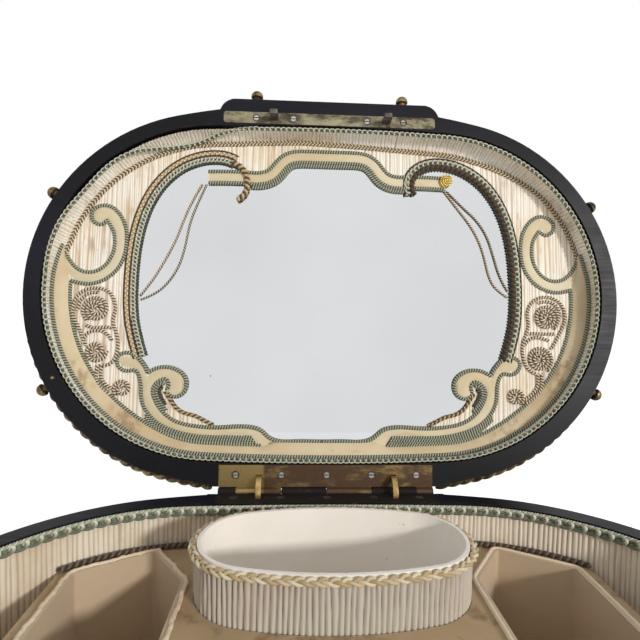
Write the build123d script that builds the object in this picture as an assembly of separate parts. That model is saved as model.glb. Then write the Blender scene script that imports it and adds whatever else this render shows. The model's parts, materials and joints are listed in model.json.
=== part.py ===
"""Oval vanity box of ebonised wood, standing open with its lid back on two quadrant stays.

The base is a coopered oval wall on a moulded plinth, lined with pleated silk and fitted with an
insert of silk boxes round a white oval cup. The lid is a matching oval frame under a low domed
crown; its recess holds a mirror in a silk panel, dressed with silk ribbon, piping, coiled cord
rosettes and hanging loops of cord. A five-knuckle leaf hinge joins the two at the back, and a
two-hook lock with a sliding bolt holds them shut at the front.

Millimetres. X runs to the right, Y to the back and Z up; the origin is the middle of the flat
underside. Lid pieces are drawn with the lid shut and then swung open about the hinge pin.
"""

from build123d import *
import os
from math import asin, atan2, copysign, cos, degrees, radians, sin, sqrt, tan

# Outline of the case
HALF_WIDTH = 160.0
HALF_DEPTH = 105.6
END_TIGHTENING = 6.9
END_WALL = 8.3
REAR_WALL = 15.1
FRONT_WALL = 12.5

# Heights of the base, and the gap between the rims when the lid is shut
RIM_HEIGHT = 84.0
RIM_GAP = 0.3
WALL_FOOT = 2.0
FLOOR_UNDERSIDE = 5.0
FLOOR_THICKNESS = 5.0
REBATE = 3.0

# Plinth moulding
PLINTH_HEIGHT = 15.0
PLINTH_REACH = 6.0
PLINTH_FILLET = 4.5

# Front lock block and rear hinge block, both on base and lid
TAB_HALF = 53.0
TAB_FOOT = 60.5
TAB_REACH = 1.4
TAB_DROP = 42.0
TAB_COVE = 9.0
BLOCK_HALF = 61.0
BLOCK_SETBACK = 2.5
BLOCK_ABOVE_PLINTH = 10.0

# Lid
LID_OPEN = 98.0
HINGE_INSET = 1.6
FRAME_HEIGHT = 20.0
CROWN_LIP = 3.0
CROWN_STEP = 3.5
CROWN_RISE = 11.0
CROWN_TOP_INSET = 52.0
CROWN_SHOULDER = 0.62
CROWN_SHOULDER_INSET = 19.0
ROPE_HEIGHT = 13.0
ROPE_RADIUS = 3.4
ROPE_REACH = 2.0
STUD_RADIUS = 3.3
STUD_REACH = 7.5
STUD_NECK = 1.8
STUD_HEIGHT = 6.0
FRONT_STUD_X = 41.0
SIDE_STUD_ANGLE = 31.0

# Leaf hinge
LEAF_HALF = 56.0
LEAF_WIDTH = 13.5
LEAF_THICKNESS = 1.0
BARREL_RADIUS = 2.1
PIN_RADIUS = 0.9
PIN_CLEARANCE = 0.06
KNUCKLE_ENDS = [-56.0, -47.0, -23.5, 0.0, 23.5, 47.0, 56.0]
KNUCKLE_GAP = 0.15
HINGE_SCREW_X = [-47.4, -23.6, 0.0, 23.6, 47.4]
LID_SCREW_DEPTH = 8.4
BASE_SCREW_DEPTH = 6.8

# Quadrant stays
STAY_X = 35.0
STAY_WIDTH = 2.7
STAY_INNER = 6.6
STAY_OUTER = 8.2
STAY_HEAD_WIDTH = 4.7
STAY_HEAD_ANGLE = 5.0
STAY_CLEARANCE = 0.3
STAY_END_ROOM = 2.0

# Screws
SCREW_HEAD = 2.1
SCREW_SHANK = 1.0
SCREW_SINK = 1.0
SCREW_LENGTH = 9.0
SCREW_SLOT = 0.5
SCREW_SLOT_DEPTH = 0.4
SCREW_CLEARANCE = 0.05

# Lock
PLATE_HALF = 58.5
PLATE_FROM_FRONT = 5.8
PLATE_WIDTH = 6.3
PLATE_THICKNESS = 1.2
PLATE_CORNER = 1.5
PLATE_SCREW_X = [-40.75, -20.4, 20.4, 40.75]
HOOK_X = 31.0
HOOK_WIDTH = 4.5
HOOK_THICKNESS = 2.4
HOOK_REACH = 8.0
HOOK_NOTCH_TOP = 3.2
HOOK_NOTCH_FLOOR = 6.2
HOOK_NOTCH_DEPTH = 3.0
HOOK_CLEARANCE = 0.4
CASE_HALF = 48.0
CASE_THICKNESS = 5.4
CASE_DEPTH = 30.0
CASE_WALL = 0.8
BOLT_TRAVEL = 3.0
BOLT_CLEARANCE = 0.3
BOLT_BAR = 3.0
BOLT_TOOTH = 3.0
BOLT_ARM = 2.2
BOLT_TAIL_HALF = 8.0
BOLT_LEDGE = 2.0
KEYHOLE_DEPTH = 20.0
KEYHOLE_RADIUS = 1.8
KEYHOLE_SLOT = 4.7
ESCUTCHEON_HALF_WIDTH = 5.5
ESCUTCHEON_HALF_HEIGHT = 8.0
ESCUTCHEON_THICKNESS = 1.0

# Silk linings
LINING = 1.5
LINING_CLEARANCE = 0.1
GIMP_WIDTH = 3.2
LID_GIMP_HEIGHT = 2.9
BASE_GIMP_HEIGHT = 4.2
GIMP_FROM_RIM = 0.5
FLOOR_PAD = 2.0

# Insert of the base
INSERT_DEPTH = 20.0
INSERT_BOARD = 2.5
INSERT_FROM_END = 41.0
INSERT_END_WALL = 2.0
CORD_RADIUS = 1.3
BOX_WALL = 1.5
BOX_PROUD = 0.8
FIT_CLEARANCE = 0.3
SIDE_BOX_FROM_END = 47.0
SIDE_BOX_FROM_CUP = 6.1
SIDE_BOX_SLANT = 31.5
SIDE_BOX_DEPTHS = (21.5, 39.5, 47.0, 97.0)
SIDE_BOX_CORNER = 3.0
FRONT_BOX_FROM_END = 64.0
FRONT_BOX_BACK = 108.0
FRONT_BOX_FROM_FRONT = 25.6
FRONT_BOX_CORNER = 26.0
CUP_DEPTH_FROM_HINGE = 51.7
CUP_HALF_WIDTH = 56.4
CUP_HALF_DEPTH = 28.1
CUP_END_RADIUS = 24.0
CUP_WALL = 1.5
CUP_PROUD = 2.0
CUP_BRAID_RADIUS = 1.6
SKIRT = 1.2
SKIRT_CLEARANCE = 0.2

# Mirror panel of the lid
PANEL_DEPTH = 14.0
PANEL_THICKNESS = 2.6
GLASS_FROM_END = 52.0
GLASS_BACK = 18.0
GLASS_FROM_FRONT = 24.6
GLASS_CORNER = 48.0
GLASS_THICKNESS = 2.2
GLASS_SETBACK = 0.2
BACKING_THICKNESS = 1.6
BACKING_MARGIN = 8.0
EDGE_CORD_RADIUS = 1.2

# Ribbon work, drawn as distances from the centre line and from the hinge on a box of these sizes
DRAWN_HALF_WIDTH = 160.0
DRAWN_FRONT = 209.6
DRAWN_MIDDLE = 90.0
RIBBON = 7.6
RIBBON_THICKNESS = 1.3
BAND_OUTER_DEPTH = 8.5
BAND_INNER_INSET = 9.6
BAND_END = 112.0
CARTOUCHE_HALF = [
    (0.0, 184.5), (17.0, 184.2), (26.5, 178.0), (34.0, 171.6), (44.0, 171.0),
    (68.0, 171.0),
]
C_SCROLL = [
    (130.0, 147.2), (124.4, 150.2), (118.6, 145.4), (116.1, 133.5),
    (118.6, 121.8), (126.4, 115.1), (136.8, 112.9),
]
FOOT_SCROLL = [
    (38.6, 28.0), (60.0, 28.8), (79.5, 32.6), (91.2, 40.2), (95.7, 50.4),
    (97.0, 58.0), (101.0, 65.4), (109.4, 65.4),
]
FOOT_CURL = [
    (95.0, 53.0), (91.6, 60.4), (84.6, 62.2), (79.6, 56.6), (82.4, 51.6),
]
FOOT_SHIFT = -2.2
PIPING = [
    (101.8, 69.0), (107.0, 88.0), (108.4, 112.0), (105.6, 140.0), (98.4, 160.0),
    (84.0, 176.0), (66.0, 182.2), (54.0, 180.0), (47.5, 172.5), (48.0, 164.0),
]
PIPING_WIDTH = 6.6
PIPING_HEIGHT = 3.0

# Coiled cord rosettes: place, outer radius
COIL_CORD = 1.9
COIL_PITCH = 2.45
COIL_START = 1.35
LEFT_COILS = [(-128.0, 95.5, 11.0), (-125.0, 72.0, 8.6), (-112.0, 51.0, 6.2)]
RIGHT_COILS = [(125.7, 94.5, 11.0), (120.0, 70.5, 8.6), (107.8, 49.0, 6.2)]
WIRE_COIL = (68.5, 172.5, 4.2)
WIRE_CORD = 0.9
WIRE_PITCH = 1.35

# Hanging loops of twisted cord, lying on the glass
LOOP_CORD = 1.0
LOOP_LIFT = 0.75
LEFT_OUTER_LOOP = [
    (-71.6, 167.0), (-77.6, 156.0), (-81.6, 145.4), (-85.0, 135.2), (-89.4, 125.8),
    (-95.0, 115.4), (-100.4, 107.2), (-104.0, 102.6),
]
LEFT_INNER_LOOP = [
    (-69.2, 167.0), (-74.6, 154.4), (-78.2, 143.4), (-79.9, 131.4), (-83.0, 119.6),
    (-89.4, 109.2), (-97.0, 103.0), (-103.8, 100.4),
]
RIGHT_OUTER_LOOP = [
    (69.0, 167.0), (77.4, 158.4), (86.6, 150.4), (92.6, 141.0), (95.9, 130.4),
    (98.8, 119.6), (102.0, 112.6), (104.4, 108.8),
]
RIGHT_INNER_LOOP = [
    (67.4, 167.0), (74.4, 157.8), (82.4, 147.8), (87.6, 138.6), (90.9, 128.6),
    (93.2, 117.2), (97.4, 109.6), (104.2, 105.4),
]

# Sizes worked out from the ones above
END_RADIUS = HALF_DEPTH - END_TIGHTENING
HINGE_Y = HALF_DEPTH - HINGE_INSET
FRONT = HINGE_Y + HALF_DEPTH
BASE_RIM = RIM_HEIGHT - RIM_GAP / 2
LID_RIM = RIM_HEIGHT + RIM_GAP / 2
INNER_HALF_WIDTH = HALF_WIDTH - END_WALL
INNER_HALF_DEPTH = HALF_DEPTH - (REAR_WALL + FRONT_WALL) / 2
INNER_Y = (FRONT_WALL - REAR_WALL) / 2
INNER_END_RADIUS = min(END_RADIUS - END_WALL, INNER_HALF_DEPTH - 1.0)
FLOOR_TOP = FLOOR_UNDERSIDE + FLOOR_THICKNESS
PAD_TOP = FLOOR_TOP + FLOOR_PAD
INSERT_TOP = RIM_HEIGHT - INSERT_DEPTH
PANEL_Z = RIM_HEIGHT + PANEL_DEPTH
ROOF_Z = RIM_HEIGHT + FRAME_HEIGHT
PLATE_OUTER = FRONT - PLATE_FROM_FRONT
PLATE_INNER = PLATE_OUTER - PLATE_WIDTH
HOOK_DEPTH = (PLATE_INNER + PLATE_OUTER) / 2
INSERT_HALF = HALF_WIDTH - INSERT_FROM_END
SIDE_BOX_OUTER = HALF_WIDTH - SIDE_BOX_FROM_END
SIDE_BOX_INNER = CUP_HALF_WIDTH + SIDE_BOX_FROM_CUP
FRONT_BOX_HALF = HALF_WIDTH - FRONT_BOX_FROM_END
FRONT_BOX_FRONT = FRONT - FRONT_BOX_FROM_FRONT
GLASS_HALF = HALF_WIDTH - GLASS_FROM_END
GLASS_FRONT = FRONT - GLASS_FROM_FRONT


def depth(distance):
    """Y of a point that lies this far in front of the hinge pin."""
    return HINGE_Y - distance


def fitted(points):
    """Points of the trim moved to suit the case's width and depth; its ends keep to the case's ends."""
    wider, deeper = HALF_WIDTH - DRAWN_HALF_WIDTH, FRONT / DRAWN_FRONT
    moved = []
    for x, distance, *radius in points:
        share = min(1.0, abs(x) / DRAWN_MIDDLE)
        moved.append((x + copysign(share * wider, x), distance * deeper, *radius))
    return moved


def oval(half_width, half_depth, end_radius, y=0.0):
    """Four-centre oval: two end arcs and two flatter side arcs, tangent to each other."""
    reach = half_width - end_radius
    rise = half_depth - end_radius
    drop = (reach**2 - rise**2) / (2 * rise)
    turn = atan2(drop, reach)
    x, d = reach + end_radius * cos(turn), end_radius * sin(turn)
    back = ThreePointArc((-x, d), (0, half_depth), (x, d))
    right = ThreePointArc((x, d), (half_width, 0), (x, -d))
    front = ThreePointArc((x, -d), (0, -half_depth), (-x, -d))
    left = ThreePointArc((-x, -d), (-half_width, 0), (-x, d))
    return Pos(0, y) * make_face([back, right, front, left])


def case_oval(inset=0.0):
    """The outside of the case, drawn in by an inset."""
    return oval(HALF_WIDTH - inset, HALF_DEPTH - inset, END_RADIUS - inset)


def rim_oval(inset=0.0):
    """The inner edge of the rim, drawn in by an inset."""
    return oval(INNER_HALF_WIDTH - inset, INNER_HALF_DEPTH - inset, INNER_END_RADIUS - inset, INNER_Y)


def slab(face, bottom, top):
    """A flat face made into a solid between two heights."""
    return extrude(Pos(0, 0, bottom) * face, top - bottom, dir=(0, 0, 1))


def block(x0, x1, y0, y1, z0, z1):
    """A box given by its faces."""
    return Pos((x0 + x1) / 2, (y0 + y1) / 2, (z0 + z1) / 2) * Box(x1 - x0, y1 - y0, z1 - z0)


def side_depth(x):
    """Half depth of the case at a distance from its centre line, on the flat side arc."""
    rise = HALF_DEPTH - END_RADIUS
    drop = ((HALF_WIDTH - END_RADIUS) ** 2 - rise**2) / (2 * rise)
    return sqrt((HALF_DEPTH + drop) ** 2 - x**2) - drop


def tab_face():
    """Plan of the lock block at the front, with a small cove at each end."""
    foot_y = -side_depth(TAB_FOOT)
    front_y = -(HALF_DEPTH + TAB_REACH)
    back_y = foot_y + FRONT_WALL / 3
    return make_face([
        Line((-TAB_HALF, front_y), (TAB_HALF, front_y)),
        RadiusArc((TAB_HALF, front_y), (TAB_FOOT, foot_y), -TAB_COVE),
        Line((TAB_FOOT, foot_y), (TAB_FOOT, back_y)),
        Line((TAB_FOOT, back_y), (-TAB_FOOT, back_y)),
        Line((-TAB_FOOT, back_y), (-TAB_FOOT, foot_y)),
        RadiusArc((-TAB_FOOT, foot_y), (-TAB_HALF, front_y), -TAB_COVE),
    ])


def with_blocks(wall, tab_low, block_low, top):
    """A wall with the lock block added in front and the flat hinge block behind."""
    back = depth(BLOCK_SETBACK)
    hinge_block = block(-BLOCK_HALF, BLOCK_HALF, depth(LEAF_WIDTH), back, block_low, top)
    spare = block(-BLOCK_HALF, BLOCK_HALF, back, HALF_DEPTH + REAR_WALL, block_low, top + 1)
    return wall + slab(tab_face(), tab_low, top) + hinge_block - spare


def leaf_pocket(low, high):
    """The shallow recess that a hinge leaf lies in."""
    half = LEAF_HALF + SCREW_CLEARANCE
    return block(-half, half, depth(LEAF_WIDTH + SCREW_CLEARANCE), HALF_DEPTH, low, high)


def about_hinge(angle):
    """The placing that turns a piece about the hinge pin; a negative angle opens the lid."""
    pin = Pos(0, HINGE_Y, RIM_HEIGHT)
    return pin * Rot(angle, 0, 0) * pin.inverse()


OPENED = about_hinge(-LID_OPEN)
HALF_OPENED = about_hinge(-LID_OPEN / 2)


def sector(inner, outer, x, width, low, high):
    """Part of a ring about the hinge pin, between two angles above the rim, at one place in X."""
    strip = Pos(x, -(inner + outer) / 2) * Rectangle(width, outer - inner)
    turned = revolve(Rot(-high, 0, 0) * strip, Axis.X, revolution_arc=high - low)
    return Pos(0, HINGE_Y, RIM_HEIGHT) * turned


# Quadrant stays: each arc floats in two mortises, and its heads catch under the leaves
LEAF_UNDERSIDE = degrees(asin((RIM_GAP / 2 + LEAF_THICKNESS) / STAY_INNER))
HEAD_GAP = degrees(STAY_CLEARANCE / STAY_INNER)
STAY_SPAN = LID_OPEN / 2 + LEAF_UNDERSIDE + HEAD_GAP + STAY_HEAD_ANGLE
MORTISE_ANGLE = STAY_SPAN + STAY_END_ROOM


def quadrant_stay(x):
    """A brass arc about the pin with a wider head at each end, drawn half way through its travel."""
    arc = sector(STAY_INNER, STAY_OUTER, x, STAY_WIDTH, -STAY_SPAN, STAY_SPAN)
    for low in (-STAY_SPAN, STAY_SPAN - STAY_HEAD_ANGLE):
        arc += sector(STAY_INNER, STAY_OUTER, x, STAY_HEAD_WIDTH, low, low + STAY_HEAD_ANGLE)
    return arc


def stay_mortises(low, high):
    """The curved pockets in the wood that both stays slide in."""
    width = STAY_HEAD_WIDTH + 2 * STAY_CLEARANCE
    inner, outer = STAY_INNER - STAY_CLEARANCE, STAY_OUTER + STAY_CLEARANCE
    return Part() + [sector(inner, outer, x, width, low, high) for x in (-STAY_X, STAY_X)]


def screw(x, y, z, up=True, clearance=0.0):
    """A countersunk slotted screw whose head is flush with z; with clearance it is the hole's shape."""
    head = Pos(0, 0, -SCREW_SINK / 2) * Cone(SCREW_SHANK + clearance, SCREW_HEAD + clearance, SCREW_SINK)
    length = SCREW_LENGTH - SCREW_SINK + clearance
    shank = Pos(0, 0, -SCREW_SINK - length / 2) * Cylinder(SCREW_SHANK + clearance, length)
    body = head + shank
    if clearance == 0.0:
        body -= Pos(0, 0, -SCREW_SLOT_DEPTH / 2) * Box(2 * SCREW_HEAD, SCREW_SLOT, SCREW_SLOT_DEPTH)
    return Pos(x, y, z) * Rot(0 if up else 180, 0, 0) * body


def screws(places, z, up=True, clearance=0.0):
    """A row of screws, or of the holes that take them."""
    return Part() + [screw(x, y, z, up, clearance) for x, y in places]


HINGE_BASE_SCREWS = [(x, depth(BASE_SCREW_DEPTH)) for x in HINGE_SCREW_X]
HINGE_LID_SCREWS = [(x, depth(LID_SCREW_DEPTH)) for x in HINGE_SCREW_X]
PLATE_SCREWS = [(x, depth(HOOK_DEPTH)) for x in PLATE_SCREW_X]


def hinge_leaf(first_knuckle, face_z, down):
    """One leaf with every other knuckle, its bore, stay slots and screw holes; down is -1 or 1."""
    plate_z = sorted((face_z, face_z + down * LEAF_THICKNESS))
    leaf = block(-LEAF_HALF, LEAF_HALF, depth(LEAF_WIDTH), HINGE_Y, *plate_z)
    barrel = Pos(0, HINGE_Y, RIM_HEIGHT) * Rot(0, 90, 0) * Cylinder(BARREL_RADIUS, 2 * LEAF_HALF)
    leaf += barrel
    reach = BARREL_RADIUS + STAY_CLEARANCE
    for index in range(len(KNUCKLE_ENDS) - 1):
        x0, x1 = KNUCKLE_ENDS[index], KNUCKLE_ENDS[index + 1]
        if index % 2 != first_knuckle:
            x0 = x0 - KNUCKLE_GAP if index > 0 else x0 - 1
            x1 = x1 + KNUCKLE_GAP if x1 < LEAF_HALF else x1 + 1
            leaf -= block(x0, x1, HINGE_Y - reach, HINGE_Y + reach, RIM_HEIGHT - reach, RIM_HEIGHT + reach)
    bore = Cylinder(PIN_RADIUS + PIN_CLEARANCE, 3 * LEAF_HALF)
    leaf -= Pos(0, HINGE_Y, RIM_HEIGHT) * Rot(0, 90, 0) * bore
    slot = STAY_WIDTH / 2 + STAY_CLEARANCE
    for x in (-STAY_X, STAY_X):
        y0, y1 = depth(STAY_OUTER + STAY_CLEARANCE), depth(STAY_INNER - 2 * STAY_CLEARANCE)
        leaf -= block(x - slot, x + slot, y0, y1, RIM_HEIGHT - 3, RIM_HEIGHT + 3)
    return leaf


def plan(points, mirrored=1):
    """Points on the panel or insert, from centre-line and hinge distances to X and Y."""
    return [(mirrored * x, depth(d)) for x, d in points]


def ribbon_face(points, width, mirrored=1, round_start=True, round_end=True):
    """A ribbon of one width along a curve, with rounded ends where it stops on the silk."""
    centre = Spline(*plan(points, mirrored))
    steps = 3 * (len(points) - 1)
    left, right = [], []
    for step in range(steps + 1):
        here, ahead = centre @ (step / steps), (centre % (step / steps)).normalized()
        aside = Vector(-ahead.Y, ahead.X) * (width / 2)
        left.append(here + aside)
        right.append(here - aside)
    caps = []
    ends = ((round_start, 0, -1, right[0], left[0]), (round_end, 1, 1, left[-1], right[-1]))
    for wanted, place, turn, a, b in ends:
        tip = centre @ place + (centre % place).normalized() * (turn * width / 2)
        caps.append(ThreePointArc(a, tip, b) if wanted else Line(a, b))
    return make_face([Spline(*left), caps[1], Spline(*right[::-1]), caps[0]])


def laid(face, height=RIBBON_THICKNESS, lift=0.05):
    """Trim of one thickness lying on the lid's panel."""
    return slab(face, PANEL_Z - lift - height, PANEL_Z - lift)


def coil_path(x, d, radius, cord, pitch, start):
    """Edges of a flat spiral of half turns, each a little wider than the last, out to a radius."""
    edges, gap = [], pitch / 2
    centre, reach, side = x, start, 1
    y = depth(d)
    while reach + cord / 2 < radius:
        begin, end = (centre + side * reach, y), (centre - side * reach, y)
        edges.append(ThreePointArc(begin, (centre, y + side * reach), end))
        centre += side * gap
        reach += gap
        side = -side
    return edges


def coil(x, d, radius, cord=COIL_CORD, pitch=COIL_PITCH, start=COIL_START, lift=0.05):
    """A cord wound into a flat rosette: one unbroken tube of six sides."""
    edges = coil_path(x, d, radius, cord, pitch, start)
    z = PANEL_Z - lift - cord / 2
    path = Pos(0, 0, z) * Wire(edges)
    section = Plane(origin=path @ 0, z_dir=path % 0) * RegularPolygon(cord / 2, 6)
    return sweep(section, path=path)


def least_coil_gap(radius, cord, pitch, start):
    """Least gap between the turns of a rosette, measured on points of its path."""
    points = []
    for edge in coil_path(0, HINGE_Y, radius, cord, pitch, start):
        points += [edge @ (step / 24) for step in range(24)]
    apart = 18
    gaps = [
        (points[i] - points[j]).length - cord
        for i in range(len(points))
        for j in range(i + 2 * apart, len(points))
    ]
    return min(gaps)


def cord_radii(points):
    """Arc radius at each inner point of a cord's route, as large as its two runs allow."""
    radii = []
    for before, here, after in zip(points, points[1:], points[2:]):
        run_in = Vector(*here) - Vector(*before)
        run_out = Vector(*after) - Vector(*here)
        turn = radians(run_in.get_angle(run_out))
        radii.append(0.45 * min(run_in.length, run_out.length) / tan(turn / 2))
    return radii


def loop_cord(name, points):
    """One hanging strand lying just clear of the mirror glass."""
    z = PANEL_Z + GLASS_SETBACK - LOOP_LIFT
    route = [(x, y, z) for x, y in plan(points)]
    radii = cord_radii(route)
    path = FilletPolyline(*route, radius=radii)
    section = Plane(origin=path @ 0, z_dir=path % 0) * RegularPolygon(LOOP_CORD / 2, 8)
    tube = sweep(section, path=path.wire())
    expected = section.face().area * path.length
    print(f"{name}: length {path.length:.1f}, least radius {min(radii):.1f}, "
          f"volume {tube.volume:.2f} for {expected:.2f}")
    return tube


def open_box(plan_face, inner_face, bottom, top, floor):
    """A silk-covered card box: walls and a floor."""
    return slab(plan_face, bottom, top) - slab(inner_face, bottom + floor, top + 1)


NODES = {}


def build_case():
    """Wooden shells of base and lid."""
    wall = slab(case_oval(), WALL_FOOT, BASE_RIM) - slab(rim_oval(), WALL_FOOT - 1, BASE_RIM + 1)
    wall = with_blocks(wall, RIM_HEIGHT - TAB_DROP, PLINTH_HEIGHT + BLOCK_ABOVE_PLINTH, BASE_RIM)
    wall -= slab(rim_oval(-REBATE), WALL_FOOT - 1, FLOOR_TOP)
    wall -= leaf_pocket(BASE_RIM - LEAF_THICKNESS, BASE_RIM + 1)
    wall -= stay_mortises(-MORTISE_ANGLE, 0)
    wall -= screws(HINGE_BASE_SCREWS, BASE_RIM, clearance=SCREW_CLEARANCE)
    wall -= slab(plate_face(SCREW_CLEARANCE), BASE_RIM - PLATE_THICKNESS, BASE_RIM + 1)
    wall -= screws(PLATE_SCREWS, BASE_RIM, clearance=SCREW_CLEARANCE)
    wall -= lock_space(SCREW_CLEARANCE)
    wall -= keyhole(HALF_DEPTH + TAB_REACH, 0)
    NODES["base_wall"] = wall

    floor_plan = rim_oval(-REBATE + SCREW_CLEARANCE)
    NODES["base_floor"] = slab(floor_plan, FLOOR_UNDERSIDE, FLOOR_TOP - SCREW_CLEARANCE)
    ring = slab(case_oval(-PLINTH_REACH), 0, PLINTH_HEIGHT)
    ring = fillet(ring.faces().sort_by(Axis.Z)[-1].edges(), PLINTH_FILLET)
    NODES["plinth"] = ring - slab(case_oval(-SCREW_CLEARANCE), -1, PLINTH_HEIGHT + 1)

    frame = slab(case_oval(), LID_RIM, ROOF_Z) - slab(rim_oval(), LID_RIM - 1, ROOF_Z + 1)
    frame = with_blocks(frame, LID_RIM, LID_RIM, ROOF_Z)
    frame -= leaf_pocket(LID_RIM - 1, LID_RIM + LEAF_THICKNESS)
    frame -= stay_mortises(0, MORTISE_ANGLE)
    frame -= screws(HINGE_LID_SCREWS, LID_RIM, up=False, clearance=SCREW_CLEARANCE)
    frame -= slab(plate_face(SCREW_CLEARANCE), LID_RIM - 1, LID_RIM + PLATE_THICKNESS)
    frame -= screws(PLATE_SCREWS, LID_RIM, up=False, clearance=SCREW_CLEARANCE)
    NODES["lid_frame"] = OPENED * frame

    lip = slab(case_oval(), ROOF_Z, ROOF_Z + CROWN_LIP)
    dome_base = ROOF_Z + CROWN_LIP
    dome = loft([
        Pos(0, 0, dome_base) * case_oval(CROWN_STEP),
        Pos(0, 0, dome_base + CROWN_SHOULDER * CROWN_RISE) * case_oval(CROWN_SHOULDER_INSET),
        Pos(0, 0, dome_base + CROWN_RISE) * case_oval(CROWN_TOP_INSET),
    ], ruled=True)
    NODES["lid_crown"] = OPENED * (lip + dome)


def plate_face(grow=0.0):
    """Plan of the strike and lock plates."""
    width, height = 2 * (PLATE_HALF + grow), PLATE_OUTER - PLATE_INNER + 2 * grow
    return Pos(0, depth(HOOK_DEPTH)) * RectangleRounded(width, height, PLATE_CORNER)


def lock_space(grow=0.0):
    """Outside of the lock case."""
    y = depth(HOOK_DEPTH)
    half = CASE_THICKNESS / 2 + grow
    top = BASE_RIM - PLATE_THICKNESS
    low = RIM_HEIGHT - CASE_DEPTH - grow
    return block(-CASE_HALF - grow, CASE_HALF + grow, y - half, y + half, low, top)


def keyhole(outer_y, inner_y):
    """Round and slotted key opening through the front."""
    z = RIM_HEIGHT - KEYHOLE_DEPTH
    length = outer_y - inner_y
    barrel = Pos(0, -(outer_y + inner_y) / 2, z) * Rot(90, 0, 0) * Cylinder(KEYHOLE_RADIUS, length)
    half = KEYHOLE_RADIUS / 2
    slot = block(-half, half, -outer_y, -inner_y, z - KEYHOLE_SLOT, z)
    reach = block(-CASE_HALF, CASE_HALF, -outer_y - 2, depth(HOOK_DEPTH), 0, RIM_HEIGHT)
    return (barrel + slot) & reach


def build_hinge():
    """Two leaves, pin, screws and stays."""
    base_holes = screws(HINGE_BASE_SCREWS, BASE_RIM, clearance=SCREW_CLEARANCE)
    lid_holes = screws(HINGE_LID_SCREWS, LID_RIM, up=False, clearance=SCREW_CLEARANCE)
    NODES["hinge_leaf_base"] = hinge_leaf(0, BASE_RIM, -1) - base_holes
    NODES["hinge_leaf_lid"] = OPENED * (hinge_leaf(1, LID_RIM, 1) - lid_holes)
    NODES["hinge_pin"] = Pos(0, HINGE_Y, RIM_HEIGHT) * Rot(0, 90, 0) * Cylinder(PIN_RADIUS, 2 * LEAF_HALF)
    NODES["hinge_screws_base"] = screws(HINGE_BASE_SCREWS, BASE_RIM)
    NODES["hinge_screws_lid"] = OPENED * screws(HINGE_LID_SCREWS, LID_RIM, up=False)
    NODES["quadrant_stay_left"] = HALF_OPENED * quadrant_stay(-STAY_X)
    NODES["quadrant_stay_right"] = HALF_OPENED * quadrant_stay(STAY_X)


def hook(x):
    """A strike hook with a notch in its left side for the bolt's tooth."""
    y, half = depth(HOOK_DEPTH), HOOK_THICKNESS / 2
    left, right = x - HOOK_WIDTH / 2, x + HOOK_WIDTH / 2
    tip = RIM_HEIGHT - HOOK_REACH
    body = block(left, right, y - half, y + half, tip, LID_RIM + PLATE_THICKNESS)
    lower_edges = body.edges().filter_by(Axis.Y).group_by(Axis.Z)[0]
    body = fillet(lower_edges, HOOK_WIDTH / 4)
    low, high = RIM_HEIGHT - HOOK_NOTCH_FLOOR, RIM_HEIGHT - HOOK_NOTCH_TOP
    return body - block(left - 1, left + HOOK_NOTCH_DEPTH, y - half - 1, y + half + 1, low, high)


def hook_slots(grow):
    """Openings for both hooks."""
    y, half = depth(HOOK_DEPTH), HOOK_THICKNESS / 2 + grow
    width = HOOK_WIDTH / 2 + grow
    low, high = RIM_HEIGHT - HOOK_REACH, LID_RIM + PLATE_THICKNESS + 1
    return Part() + [block(x - width, x + width, y - half, y + half, low, high) for x in (-HOOK_X, HOOK_X)]


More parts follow.
